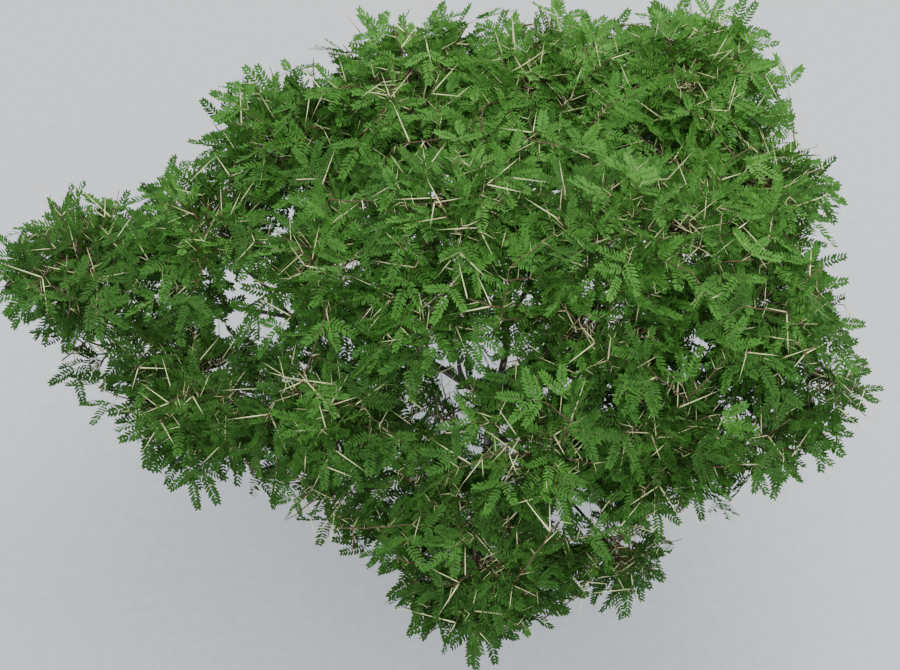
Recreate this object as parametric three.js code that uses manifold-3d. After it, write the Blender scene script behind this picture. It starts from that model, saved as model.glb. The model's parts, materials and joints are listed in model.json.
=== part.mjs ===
// A young thorn acacia, 2.5 m across: a slim leaning trunk that forks at 0.85 m, arching boughs, and
// a low umbrella crown of separate masses of foliage. Millimetres, +Z up, origin at the middle of
// the flat cut under the trunk.
//
// Each mass is one solid: a stem that carries on from its bough to a pair of thorns, and twigs that
// branch from it by a seeded rule, with a feather-shaped leaf on the tip of each and up to four on
// its sides.
import * as THREE from "three";
import { mergeVertices } from "three/addons/utils/BufferGeometryUtils.js";
import Module from "manifold-3d";

const wasm = await Module();
wasm.setup();

// ---------------------------------------------------------------- driving dimensions

const GAP = 0.3; // air between two solids that touch on the real tree

const TRUNK = {
  forkHeight: 850,
  lean: 30, // how far the fork stands to +X of the foot
  footRadius: 34,
  stemRadius: 25,
  forkRadius: 20,
  bole: 0.25, // the share of its height in which it narrows fastest
  rounding: 0.6, // its top is rounded off between the boughs, to this share of its radius
  roundedFrom: 0.99, // from this share of its height up
  // Where its middle line runs: the shares of the lean and height, and how far it strays to +Y
  path: [
    { lean: 0, height: 0, stray: 0 },
    { lean: 0, height: 0.12, stray: 0 },
    { lean: 0.2, height: 0.45, stray: 0 },
    { lean: 0.65, height: 0.75, stray: 2 },
    { lean: 1, height: 1, stray: 5 },
  ],
  flareHeight: 170,
  flareSpread: 0.45, // how far the root flare stands out, as a share of the foot's radius
  flareLobes: 5,
  lobeDepth: 0.45, // how far the flare draws in between two lobes
  sides: 15,
  rings: 10,
};

const LIMB = {
  mainRadius: 12.5, // where a main bough leaves the trunk
  sideRadius: 8, // where a side bough leaves another
  tipRadius: 3.6, // where any bough enters its mass
  entry: 0.62, // the bough's tip lies this share of the mass's spread short of its middle
  sunk: 0.985, // a bough starts at this share of the way to its place, inside its parent's wood
  steepness: 0.75, // how much a bough climbs before it turns outwards
  levelling: 0.5, // how much it levels out towards its tip
  leaveReach: 0.36, // the shares of its length that it holds each of those headings for
  arriveReach: 0.32,
  bends: 5,
  taper: 0.8, // below 1, it narrows faster near its parent
  waver: 0.018, // sideways wander, as a share of the bough's length
  mainSides: 7,
  sideSides: 5,
  ringStep: 120,
};

const MASS = {
  flatness: 0.72, // height of a mass over its width
  twigArea: 9800, // square millimetres of spread squared for each twig
  twigRadius: 2.6,
  twigTipRadius: 1.8,
  stemTipRadius: 2.2,
  stemReach: 0.45, // how far the stem holds the bough's heading, as a share of the spread
  stemRise: 0.45, // how high over the middle the stem ends, as a share of the mass's half height
  highest: 0.95, // the sine of the steepest way that twigs grow up
  lowest: -0.7, // and of the steepest way that they hang down
  jitter: 0.25, // how far twigs stray from an even spread
  firstTwig: 0.12, // where the lowest and highest twigs leave the stem
  lastTwig: 0.97,
  swing: 0.3, // how far a twig holds the stem's heading, as a share of its length
  leastReach: 0.3, // the least share of the room that a twig grows through
  tipLeaf: { least: 0.6, most: 0.85 }, // the share of a leaf that stands past each twig's tip
  leafLength: 225,
  leafProportion: 0.48, // a leaf's width over its length
  leafThickness: 4,
  leafWaist: 0.42, // the widest place, as a share of the leaf's length
  leafRoot: 1, // how deep a leaf's point is sunk past its twig's middle
  leastLeaf: 0.45, // a leaf with less room than this share of its length doesn't grow
  faceSway: 0.6, // how far a leaf's upper side strays from facing up
  thornLength: 120,
  thornRadius: 2.4,
  thornAngle: 48, // between each thorn of the pair at the stem's tip and the stem
  thornFoot: 0.98, // how far along the stem they stand
  clearance: 5, // kept from every limb and from the next mass
  snug: 0.97, // a leaf fills at most this share of the room before it
  roomSteps: 40, // how finely that room is measured
  smoothing: 0.1, // corners that stand out less than this are left out
};

// The leaves on the sides of a twig: how far along it each grows, its angle from the twig and its
// size. Another leaf ends the twig.
const SIDE_LEAVES = [
  { at: 0.93, angle: 55, size: 0.9 },
  { at: 0.84, angle: -58, size: 0.9 },
  { at: 0.6, angle: 66, size: 0.85 },
  { at: 0.48, angle: -66, size: 0.85 },
];

// A leaf that would touch another is rolled and made smaller until it is clear, or isn't grown.
const TRIES = [
  { roll: 0, size: 1 },
  { roll: 30, size: 1 },
  { roll: -30, size: 1 },
  { roll: 60, size: 0.9 },
  { roll: -60, size: 0.9 },
  { roll: 0, size: 0.75 },
  { roll: 45, size: 0.65 },
  { roll: -45, size: 0.65 },
];

// Where each bough springs from, and the bearing, reach and height of the middle of its mass, seen
// from the foot of the trunk. Bearings run anticlockwise from +X.
const BOUGHS = [
  { name: "far_left", from: "trunk", at: 1, bearing: 167, reach: 1200, height: 1125, spread: 265 },
  { name: "right_upper", from: "trunk", at: 1, bearing: 26, reach: 860, height: 1320, spread: 250 },
  { name: "low_front", from: "trunk", at: 0.97, bearing: 267, reach: 620, height: 868, spread: 262 },
  { name: "top", from: "trunk", at: 1, bearing: 75, reach: 700, height: 1445, spread: 290 },

  { name: "left_upper", from: "far_left", at: 0.6, bearing: 159, reach: 850, height: 1255, spread: 236 },
  { name: "left_lower", from: "far_left", at: 0.5, bearing: 187, reach: 805, height: 990, spread: 278 },
  { name: "left_low", from: "far_left", at: 0.75, bearing: 174, reach: 1150, height: 930, spread: 150 },
  { name: "left_inner", from: "far_left", at: 0.32, bearing: 166, reach: 460, height: 1330, spread: 215 },
  { name: "left_front", from: "far_left", at: 0.2, bearing: 211, reach: 500, height: 1140, spread: 235 },
  { name: "left_middle", from: "far_left", at: 0.1, bearing: 201, reach: 180, height: 1320, spread: 215 },

  { name: "right", from: "right_upper", at: 0.55, bearing: 357, reach: 760, height: 1290, spread: 265 },
  { name: "far_right", from: "right", at: 0.45, bearing: 353, reach: 965, height: 1085, spread: 178 },
  { name: "right_front", from: "right_upper", at: 0.22, bearing: 325, reach: 550, height: 1110, spread: 285 },
  { name: "right_lower", from: "right_front", at: 0.45, bearing: 341, reach: 790, height: 1030, spread: 190 },
  { name: "right_middle", from: "right_upper", at: 0.12, bearing: 337, reach: 330, height: 1330, spread: 225 },
  { name: "right_inner", from: "right_upper", at: 0.42, bearing: 15, reach: 580, height: 1430, spread: 225 },

  { name: "front_inner", from: "low_front", at: 0.15, bearing: 290, reach: 410, height: 1130, spread: 225 },
  { name: "front", from: "low_front", at: 0.4, bearing: 265, reach: 500, height: 950, spread: 245 },
  { name: "front_left", from: "low_front", at: 0.22, bearing: 221, reach: 580, height: 935, spread: 178 },
  { name: "front_right", from: "low_front", at: 0.3, bearing: 304, reach: 650, height: 880, spread: 192 },
  { name: "front_middle", from: "front_left", at: 0.3, bearing: 238, reach: 270, height: 1110, spread: 185 },

  { name: "middle", from: "top", at: 0.25, bearing: 120, reach: 160, height: 1490, spread: 275 },
  { name: "top_left", from: "top", at: 0.4, bearing: 107, reach: 750, height: 1395, spread: 285 },
  { name: "upper_left", from: "top_left", at: 0.35, bearing: 133, reach: 880, height: 1290, spread: 235 },
  { name: "top_right", from: "top", at: 0.32, bearing: 50, reach: 925, height: 1445, spread: 295 },
  { name: "middle_right", from: "top_right", at: 0.2, bearing: 8, reach: 330, height: 1490, spread: 285 },
  { name: "back", from: "top", at: 0.6, bearing: 84, reach: 900, height: 1080, spread: 250 },
  { name: "back_left", from: "top_left", at: 0.55, bearing: 116, reach: 880, height: 1020, spread: 235 },
  { name: "back_right", from: "top_right", at: 0.5, bearing: 55, reach: 960, height: 1040, spread: 245 },
];

const BARK = { color: 0x6b625c, roughness: 0.9, metalness: 0 };
const LEAF_GREENS = [0x3f7a2c, 0x4a8a35, 0x376b27];

// ---------------------------------------------------------------- small helpers

const UP = new THREE.Vector3(0, 0, 1);
const GOLDEN_ANGLE = Math.PI * (3 - Math.sqrt(5));
const radians = THREE.MathUtils.degToRad;
const lerp = THREE.MathUtils.lerp;

/** A stream of numbers from 0 to 1 that is the same on every run. */
function seeded(seed) {
  let state = seed >>> 0;
  return () => {
    state = (state + 0x6d2b79f5) >>> 0;
    let mixed = Math.imul(state ^ (state >>> 15), state | 1);
    mixed ^= mixed + Math.imul(mixed ^ (mixed >>> 7), mixed | 61);
    return ((mixed ^ (mixed >>> 14)) >>> 0) / 4294967296;
  };
}

/** A three.js geometry as a solid that can be joined and cut. */
function solidOf(geometry) {
  const bare = new THREE.BufferGeometry().setAttribute("position", geometry.getAttribute("position"));
  bare.setIndex(geometry.index);
  const merged = mergeVertices(bare, 1e-4);
  return new wasm.Manifold(
    new wasm.Mesh({
      numProp: 3,
      vertProperties: merged.getAttribute("position").array,
      triVerts: new Uint32Array(merged.index.array),
    }),
  );
}

/** The largest piece of a solid, which drops loose scraps and fills sealed hollows. */
function largestPiece(solid) {
  const pieces = solid.decompose();
  return pieces.reduce((best, piece) => (piece.volume() > best.volume() ? piece : best));
}

function meshOf(solid, name, material) {
  const made = solid.getMesh();
  const geometry = new THREE.BufferGeometry()
    .setAttribute("position", new THREE.BufferAttribute(new Float32Array(made.vertProperties), 3))
    .setIndex(new THREE.BufferAttribute(new Uint32Array(made.triVerts), 1));
  geometry.computeVertexNormals();
  const mesh = new THREE.Mesh(geometry, material);
  mesh.name = name;
  return mesh;
}

/** A ring of a limb or leaf: its middle, which way it heads, its upper side and its half sizes. */
function section(middle, along, face, halfWidth, halfDepth = halfWidth) {
  const side = new THREE.Vector3().crossVectors(along, face).normalize();
  const over = new THREE.Vector3().crossVectors(side, along).normalize();
  return { middle, side: side.multiplyScalar(halfWidth), over: over.multiplyScalar(halfDepth) };
}

/** A cylinder or cone whose rings are moved onto sections, with an outline that may swell. */
function loft(geometry, sections, swell = () => 1) {
  const position = geometry.getAttribute("position");
  for (let i = 0; i < position.count; i++) {
    const ring = Math.round((position.getY(i) + 0.5) * (sections.length - 1));
    const { middle, side, over } = sections[ring];
    const turn = Math.atan2(position.getZ(i), position.getX(i));
    const isRim = Math.hypot(position.getX(i), position.getZ(i)) > 1e-6;
    const out = isRim ? swell(ring / (sections.length - 1), turn) : 0;
    const place = middle
      .clone()
      .addScaledVector(side, out * Math.cos(turn))
      .addScaledVector(over, out * Math.sin(turn));
    position.setXYZ(i, place.x, place.y, place.z);
  }
  return solidOf(geometry);
}

/** A closed tapering tube along a curve. */
function tube(curve, radiusAt, sides, rings, swell) {
  const frames = curve.computeFrenetFrames(rings);
  const sections = frames.tangents.map((along, i) => {
    const share = i / rings;
    return section(curve.getPointAt(share), along, frames.normals[i], radiusAt(share));
  });
  return loft(new THREE.CylinderGeometry(1, 1, 1, sides, rings), sections, swell);
}

// ---------------------------------------------------------------- trunk and boughs

const limbs = new Map(); // name -> { curve, radiusAt, swell, sides, rings, solid }

/** How far the root flare stands out, as a share of the trunk's radius there. */
function rootFlare(share, turn) {
  const fade = Math.max(0, 1 - (share * TRUNK.forkHeight) / TRUNK.flareHeight) ** 2;
  const lobe = 1 - TRUNK.lobeDepth * (1 - Math.cos(TRUNK.flareLobes * turn));
  return 1 + TRUNK.flareSpread * fade * lobe;
}

function growTrunk() {
  const { footRadius, stemRadius, forkRadius, bole } = TRUNK;
  const curve = new THREE.CatmullRomCurve3(
    TRUNK.path.map(
      ({ lean, height, stray }) => new THREE.Vector3(TRUNK.lean * lean, stray, TRUNK.forkHeight * height),
    ),
  );
  const radiusAt = (share) => {
    if (share < bole) return lerp(footRadius, stemRadius, share / bole);
    if (share > TRUNK.roundedFrom) return forkRadius * TRUNK.rounding;
    return lerp(stemRadius, forkRadius, (share - bole) / (1 - bole));
  };
  limbs.set("trunk", { curve, radiusAt, swell: rootFlare, sides: TRUNK.sides, rings: TRUNK.rings });
}

/** The middle of a bough's mass. */
function middleOf({ bearing, reach, height }) {
  const turn = radians(bearing);
  return new THREE.Vector3(reach * Math.cos(turn), reach * Math.sin(turn), height);
}

/** One tapering limb, from its parent's middle line to the edge of its mass. */
function growBough(bough, index) {
  const parent = limbs.get(bough.from);
  const start = parent.curve.getPointAt(bough.at * LIMB.sunk);
  const middle = middleOf(bough);
  const run = middle.clone().sub(start);
  const tip = middle.clone().addScaledVector(run.clone().normalize(), -LIMB.entry * bough.spread);
  const length = tip.distanceTo(start);
  const level = new THREE.Vector3(run.x, run.y, 0).normalize();
  const leave = run.clone().normalize().addScaledVector(UP, LIMB.steepness).normalize();
  const arrive = run.clone().normalize().addScaledVector(level, LIMB.levelling).normalize();
  const bend = new THREE.CubicBezierCurve3(
    start,
    start.clone().addScaledVector(leave, length * LIMB.leaveReach),
    tip.clone().addScaledVector(arrive, -length * LIMB.arriveReach),
    tip,
  );
  const random = seeded(101 + index);
  const points = bend.getPoints(LIMB.bends).map((point, i, all) => {
    if (i === 0 || i === all.length - 1) return point;
    const wander = new THREE.Vector3(random() - 0.5, random() - 0.5, random() - 0.5);
    return point.addScaledVector(wander, 2 * LIMB.waver * length);
  });
  const main = bough.from === "trunk";
  const baseRadius = main ? LIMB.mainRadius : LIMB.sideRadius;
  limbs.set(bough.name, {
    curve: new THREE.CatmullRomCurve3(points, false, "centripetal"),
    radiusAt: (share) => lerp(baseRadius, LIMB.tipRadius, share ** LIMB.taper),
    sides: main ? LIMB.mainSides : LIMB.sideSides,
    rings: Math.max(3, Math.round(length / LIMB.ringStep)),
  });
}

/** A limb's solid, or the same limb grown all round by the gap, to cut its neighbours with. */
function limbSolid({ curve, radiusAt, swell, sides, rings }, grow = 0) {
  return tube(curve, (share) => radiusAt(share) + grow, sides, rings, swell);
}

/** Cuts each limb clear of those before it that it springs from or beside. */
function cutLimbs() {
  const done = [];
  for (const [name, limb] of limbs) {
    let solid = limbSolid(limb);
    for (const other of done) solid = solid.subtract(limbSolid(other, GAP));
    limb.solid = largestPiece(solid);
    limb.name = name;
    done.push(limb);
  }
}

// ---------------------------------------------------------------- masses of foliage

/** How deep a point lies in a mass: 0 at its middle, 1 on its skin. */
function depthIn(mass, point) {
  const across = Math.hypot(point.x - mass.middle.x, point.y - mass.middle.y) / mass.spread;
  const over = (point.z - mass.middle.z) / (mass.spread * MASS.flatness);
  return Math.hypot(across, over);
}

/** Whether a point belongs to a mass, and not to a neighbour that it is deeper in. */
function owns(mass, point) {
  const depth = depthIn(mass, point);
  const margin = MASS.clearance / mass.spread;
  return depth <= 1 && masses.every((other) => other === mass || depth + margin < depthIn(other, point));
}

/** How far a mass's own space runs from a point in it, in one direction. */
function roomFrom(mass, point, direction) {
  const step = mass.spread / MASS.roomSteps;
  let room = 0;
  while (owns(mass, point.clone().addScaledVector(direction, room + step))) room += step;
  return room;
}

/** One of a number of directions spread evenly from low to high, as seeds are on a seed head. */
function evenDirection(i, count) {
  const rise = lerp(MASS.lowest, MASS.highest, (i + 0.5) / count);
  const level = Math.sqrt(1 - rise * rise);
  return new THREE.Vector3(level * Math.cos(i * GOLDEN_ANGLE), level * Math.sin(i * GOLDEN_ANGLE), rise);
}

/** The corners of a solid. */
function cornersOf(solid) {
  const { vertProperties } = solid.getMesh();
  const corners = [];
  for (let i = 0; i < vertProperties.length; i += 3)
    corners.push(new THREE.Vector3(vertProperties[i], vertProperties[i + 1], vertProperties[i + 2]));
  return corners;
}

/** The widest place of a leaf. Its three corners are its two edges and its midrib. */
function waistSection(point, along, face, length) {
  const middle = point.clone().addScaledVector(along, length * MASS.leafWaist);
  const halfWidth = (length * MASS.leafProportion) / Math.sqrt(3);
  return section(middle, along, face, halfWidth, MASS.leafThickness / 1.5);
}

/** A feather-shaped leaf with a raised midrib, growing one way from a point and facing another. */
function leafBlade(point, along, face, length) {
  const blade = new THREE.SphereGeometry(1, 3, 2);
  const waist = waistSection(point, along, face, length);
  const position = blade.getAttribute("position");
  for (let i = 0; i < position.count; i++) {
    const rise = Math.round(position.getY(i));
    const place = rise === 0 ? waist.middle.clone() : point.clone();
    if (rise > 0) place.addScaledVector(along, length);
    if (rise < 0) place.addScaledVector(along, -MASS.leafRoot);
    if (rise === 0) {
      place.addScaledVector(waist.side, position.getZ(i));
      place.addScaledVector(waist.over, -position.getX(i));
    }
    position.setXYZ(i, place.x, place.y, place.z);
  }
  return solidOf(blade);
}

/** A three-sided twig that flattens out into the leaf at its tip. */
function leafyTwig(curve, face, leafLength) {
  const sections = [0, 0.5, 1].map((share) => {
    const radius = lerp(MASS.twigRadius, MASS.twigTipRadius, share);
    return section(curve.getPointAt(share), curve.getTangentAt(share), face, radius);
  });
  const along = curve.getTangentAt(1);
  const end = curve.getPointAt(1);
  sections.push(waistSection(end, along, face, leafLength));
  sections.push(section(end.clone().addScaledVector(along, leafLength), along, face, 0));
  return loft(new THREE.ConeGeometry(1, 1, 3, sections.length - 1), sections);
}

/** The stem that carries a mass's bough on, and turns up through the mass's middle. */
function stemCurve(mass) {
  const limb = limbs.get(mass.name);
  const tip = limb.curve.getPointAt(1);
  const heading = limb.curve.getTangentAt(1);
  const rise = mass.spread * MASS.flatness * MASS.stemRise;
  return new THREE.QuadraticBezierCurve3(
    tip.clone().addScaledVector(heading, GAP),
    tip.clone().addScaledVector(heading, mass.spread * MASS.stemReach),
    mass.middle.clone().addScaledVector(UP, rise),
  );
}

/** The twigs of a mass, lowest first: each ends a leaf's length short of the mass's skin. */
function twigCurves(mass, stem, random) {
  const count = Math.round(mass.spread ** 2 / MASS.twigArea);
  const curves = [];
  for (let i = 0; i < count; i++) {
    const out = evenDirection(i, count);
    out.x += MASS.jitter * (random() - 0.5);
    out.y += MASS.jitter * (random() - 0.5);
    out.z += MASS.jitter * (random() - 0.5);
    out.normalize();
    const room = roomFrom(mass, mass.middle, out);
    const length = MASS.leafLength * lerp(MASS.tipLeaf.least, MASS.tipLeaf.most, random());
    const end = mass.middle.clone().addScaledVector(out, Math.max(room * MASS.leastReach, room - length));
    const at = lerp(MASS.firstTwig, MASS.lastTwig, i / (count - 1));
    const root = stem.getPointAt(at);
    const swing = stem.getTangentAt(at).multiplyScalar(end.distanceTo(root) * MASS.swing);
    curves.push(new THREE.QuadraticBezierCurve3(root, root.clone().add(swing), end));
  }
  return curves;
}

/** A thorn: a slender cone that grows one way from a point. */
function thorn(point, along, face) {
  const tip = point.clone().addScaledVector(along, MASS.thornLength);
  const sections = [section(point, along, face, MASS.thornRadius), section(tip, along, face, 0)];
  return loft(new THREE.ConeGeometry(1, 1, 3, 1), sections);
}

/** The pair of thorns that spread from the tip of a mass's stem. */
function thornPair(stem, turn) {
  const along = stem.getTangentAt(1);
  const facing = new THREE.Vector3(Math.cos(turn), Math.sin(turn), 0);
  const { side } = section(stem.getPointAt(1), along, facing, 1);
  const foot = stem.getPointAt(MASS.thornFoot);
  return [-1, 1].map((hand) => {
    const out = along.clone().multiplyScalar(Math.cos(radians(MASS.thornAngle)));
    out.addScaledVector(side, hand * Math.sin(radians(MASS.thornAngle)));
    return thorn(foot, out, side);
  });
}

/** The places where leaves grow on a twig, the one at its tip first. */
function leafPlaces(curve, upper) {
  const tip = { point: curve.getPointAt(1), along: curve.getTangentAt(1), size: 1 };
  const sides = SIDE_LEAVES.map(({ at, angle, size }) => {
    const tangent = curve.getTangentAt(at);
    const side = new THREE.Vector3().crossVectors(upper, tangent).normalize();
    const along = tangent.multiplyScalar(Math.cos(radians(angle)));
    along.addScaledVector(side, Math.sin(radians(angle)));
    return { point: curve.getPointAt(at), along, size };
  });
  return [tip, ...sides];
}

/** Grows one mass: its stem, and twigs with leaves that keep to its own space. */
function growMass(mass, index) {
  const random = seeded(9001 + 17 * index);
  const stem = stemCurve(mass);
  const nearLimbs = [...limbs.values()]
    .filter(({ solid }) => boxesMeet(solid, mass))
    .map((limb) => limbSolid(limb, MASS.clearance));
  const leaves = [];
  const fits = (solid, others) =>
    others.every((other) => solid.intersect(other).isEmpty()) &&
    cornersOf(solid).every((corner) => owns(mass, corner));

  const parts = [tube(stem, (share) => lerp(LIMB.tipRadius, MASS.stemTipRadius, share), 3, 3)];
  for (const spike of thornPair(stem, index)) {
    if (fits(spike, nearLimbs)) parts.push(spike);
  }
  for (const curve of twigCurves(mass, stem, random)) {
    const sway = new THREE.Vector3(random() - 0.5, random() - 0.5, random() - 0.5);
    const upper = UP.clone().addScaledVector(sway, 2 * MASS.faceSway);
    let bare = true;
    for (const { point, along, size } of leafPlaces(curve, upper)) {
      const room = MASS.snug * roomFrom(mass, point, along);
      for (const tried of TRIES) {
        const length = Math.min(MASS.leafLength * size, room) * tried.size;
        if (length < MASS.leafLength * MASS.leastLeaf) break;
        const face = upper.clone().applyAxisAngle(along, radians(tried.roll));
        const leaf = leafBlade(point, along, face, length);
        if (!fits(leaf, [...nearLimbs, ...leaves])) continue;
        const part = bare ? leafyTwig(curve, face, length) : leaf;
        if (!fits(part, nearLimbs)) continue;
        parts.push(part);
        leaves.push(leaf);
        bare = false;
        break;
      }
      if (bare) break;
    }
  }
  return largestPiece(wasm.Manifold.union(parts).asOriginal().simplify(MASS.smoothing));
}

/** Whether a limb's box reaches into a mass's box. */
function boxesMeet(solid, mass) {
  const { min, max } = solid.boundingBox();
  const half = [mass.spread, mass.spread, mass.spread * MASS.flatness];
  return mass.middle
    .toArray()
    .every((value, axis) => min[axis] < value + half[axis] && max[axis] > value - half[axis]);
}

// ---------------------------------------------------------------- the tree

const masses = BOUGHS.map((bough) => ({ ...bough, middle: middleOf(bough) }));
growTrunk();
BOUGHS.forEach(growBough);
cutLimbs();

const tree = new THREE.Group();
const bark = new THREE.MeshStandardMaterial(BARK);
for (const [name, { solid }] of limbs) {
  tree.add(meshOf(solid, name === "trunk" ? name : `bough_${name}`, bark));
}
masses.forEach((mass, index) => {
  const color = LEAF_GREENS[index % LEAF_GREENS.length];
  const green = new THREE.MeshStandardMaterial({ color, roughness: 0.6, metalness: 0 });
  tree.add(meshOf(growMass(mass, index), `foliage_${mass.name}`, green));
});

export default tree;
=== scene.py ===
# %% [markdown]
# # A young thorn acacia, grown from its trunk to its leaflets
#
# A small acacia of dry grassland has a slim trunk, boughs that arch up and then out, and a wide,
# flat, open crown. Its leaves are feathers of feathers, and a pair of pale thorns stands at the
# foot of nearly every leaf. This lesson grows such a tree, about 2.5 m across, with one rule: a
# limb bears shoots, a shoot bears leaves and thorns, and a leaf bears feathers of leaflets.
#
# The plain solids of the trunk, the boughs and the masses of foliage are loaded first. The cube,
# lamp and camera that a fresh Blender file starts with are cleared away. Each piece made below
# takes the place of some of the solids, so the box round them all is kept for comparison.

import json
import math

import bpy
import numpy as np
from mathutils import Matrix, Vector, noise

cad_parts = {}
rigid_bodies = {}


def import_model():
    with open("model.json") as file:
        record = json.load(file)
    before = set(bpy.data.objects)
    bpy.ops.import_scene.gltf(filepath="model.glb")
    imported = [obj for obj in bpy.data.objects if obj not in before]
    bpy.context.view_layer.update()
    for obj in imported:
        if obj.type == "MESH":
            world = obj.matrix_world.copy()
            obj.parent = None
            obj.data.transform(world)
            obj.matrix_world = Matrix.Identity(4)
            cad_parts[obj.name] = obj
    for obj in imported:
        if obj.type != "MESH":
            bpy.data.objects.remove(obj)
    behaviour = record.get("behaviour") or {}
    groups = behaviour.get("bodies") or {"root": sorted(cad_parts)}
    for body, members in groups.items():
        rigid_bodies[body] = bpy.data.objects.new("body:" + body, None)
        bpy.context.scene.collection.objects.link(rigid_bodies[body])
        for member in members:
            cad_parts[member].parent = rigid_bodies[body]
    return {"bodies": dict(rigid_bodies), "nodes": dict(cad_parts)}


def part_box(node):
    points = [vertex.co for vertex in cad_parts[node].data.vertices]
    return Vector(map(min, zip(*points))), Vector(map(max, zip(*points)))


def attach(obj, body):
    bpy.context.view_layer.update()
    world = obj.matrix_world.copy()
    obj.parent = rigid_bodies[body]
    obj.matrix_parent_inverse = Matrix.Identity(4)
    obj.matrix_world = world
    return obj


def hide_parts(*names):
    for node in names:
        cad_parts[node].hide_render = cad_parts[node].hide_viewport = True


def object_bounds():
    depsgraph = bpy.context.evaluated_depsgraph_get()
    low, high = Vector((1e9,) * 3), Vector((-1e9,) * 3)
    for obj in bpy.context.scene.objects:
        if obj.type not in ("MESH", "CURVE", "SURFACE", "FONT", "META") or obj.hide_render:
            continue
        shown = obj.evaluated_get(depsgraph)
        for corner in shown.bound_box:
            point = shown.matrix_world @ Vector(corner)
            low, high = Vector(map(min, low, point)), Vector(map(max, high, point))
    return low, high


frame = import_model()
loaded = [*frame["nodes"].values(), *frame["bodies"].values()]
for extra in [one for one in bpy.data.objects if one not in loaded]:
    bpy.data.objects.remove(extra)
box_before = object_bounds()
print("solids:", len(frame["nodes"]), "from", tuple(box_before[0]), "to", tuple(box_before[1]))

# %% [markdown]
# ## Chance that repeats
#
# No two shoots of a tree are alike, but the tree must be the same each time that this file runs.
# A seeded stream of numbers gives both: the seed names the limb, and the numbers that follow
# steer it. This stream is the one that the solids were grown with, so that each twig made here
# lies where its solid lies. For the finer parts, numpy has a quicker stream of its own.

# %% Streams of numbers
WORD = 0xFFFFFFFF  # a whole number of 32 bits
STRIDE = 0x6D2B79F5  # how far the state moves on for each number


def seeded(seed):
    """A stream of numbers from 0 to 1, mixed by the rule that is called mulberry32."""
    state = seed

    def draw():
        nonlocal state
        state = (state + STRIDE) & WORD
        mixed = ((state ^ (state >> 15)) * (state | 1)) & WORD
        mixed ^= (mixed + (mixed ^ (mixed >> 7)) * (mixed | 61)) & WORD
        return (mixed ^ (mixed >> 14)) / 2**32

    return draw


def wander(draw):
    """A random step of up to a half along each axis."""
    return np.array([draw(), draw(), draw()]) - 0.5


chance = np.random.default_rng(20)
print("the first number of stream 101 is", round(seeded(101)(), 4))

# %% [markdown]
# ## Lines to grow along
#
# Every limb follows a smooth line. Such a line is kept as many close points with the length
# walked up to each one, so that "half way along" means half of the length. Two recipes draw all
# the lines: a Bezier curve, which leans towards its control points and suits a shoot that sets
# off one way and ends up another, and a centripetal Catmull-Rom curve, which passes through its
# points without loops and suits a bough that wavers.

# %% Paths and curves
UP = np.array([0.0, 0.0, 1.0])


def unit(vectors):
    """The same directions, one metre long."""
    return vectors / np.linalg.norm(vectors, axis=-1, keepdims=True)


def square(vectors, headings):
    """What is left of each vector square to a heading, one metre long."""
    along = (vectors * headings).sum(axis=-1, keepdims=True)
    return unit(vectors - along * headings)


class Path:
    """A smooth line, read by the share of its length."""

    def __init__(self, points):
        self.points = np.asarray(points, float)
        steps = np.linalg.norm(np.diff(self.points, axis=0), axis=1)
        self.marks = np.concatenate([[0.0], np.cumsum(steps)])
        self.length = self.marks[-1]

    def at(self, share):
        """The place at a share of the length, or a row of places."""
        walked = np.clip(share, 0, 1) * self.length
        return np.array([np.interp(walked, self.marks, self.points[:, k]) for k in range(3)]).T

    def heading(self, share, step=0.005):
        """Which way the line runs there, from a step before it to a step past it."""
        share = np.asarray(share)
        return unit(self.at(np.minimum(share + step, 1)) - self.at(np.maximum(share - step, 0)))


def bezier(*controls, count=60):
    """Points along the curve that leans towards its control points."""
    t = np.linspace(0, 1, count)[:, None]
    rows = [np.tile(control, (count, 1)) for control in controls]
    while len(rows) > 1:
        rows = [a + (b - a) * t for a, b in zip(rows, rows[1:])]
    return rows[0]


def through(points, count=24):
    """Points along the centripetal Catmull-Rom curve through some points."""
    knots = [2 * points[0] - points[1], *points, 2 * points[-1] - points[-2]]
    t = np.linspace(0, 1, count)[:, None]
    pieces = []
    for a, b, c, d in zip(knots, knots[1:], knots[2:], knots[3:]):
        ab, bc, cd = (np.linalg.norm(q - p) ** 0.5 for p, q in ((a, b), (b, c), (c, d)))
        leave = ((b - a) / ab - (c - a) / (ab + bc) + (c - b) / bc) * bc
        arrive = ((c - b) / bc - (d - b) / (bc + cd) + (d - c) / cd) * bc
        squared = 3 * (c - b) - 2 * leave - arrive
        cubed = 2 * (b - c) + leave + arrive
        pieces.append(b + leave * t + squared * t**2 + cubed * t**3)
    return np.concatenate(pieces)


quarter = Path(bezier(UP, UP + [0.55, 0, 0], [1, 0, 0.55], [1, 0, 0]))
print("a quarter of a circle of radius 1 is", round(quarter.length, 3), "long")

# %% [markdown]
# ## The trunk and the boughs
#
# The trunk leans a little, flares out over its roots and forks at about hip height. From the
# fork the boughs climb steeply, arch over and level out. Each is described by where it springs
# from and where the mass of foliage at its end lies: its bearing, reach and height seen from the
# foot of the trunk. One function then bends a line between the two. Listing the points of each
# bough by hand would also work, but then moving one mass would mean drawing a bough again.

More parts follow.
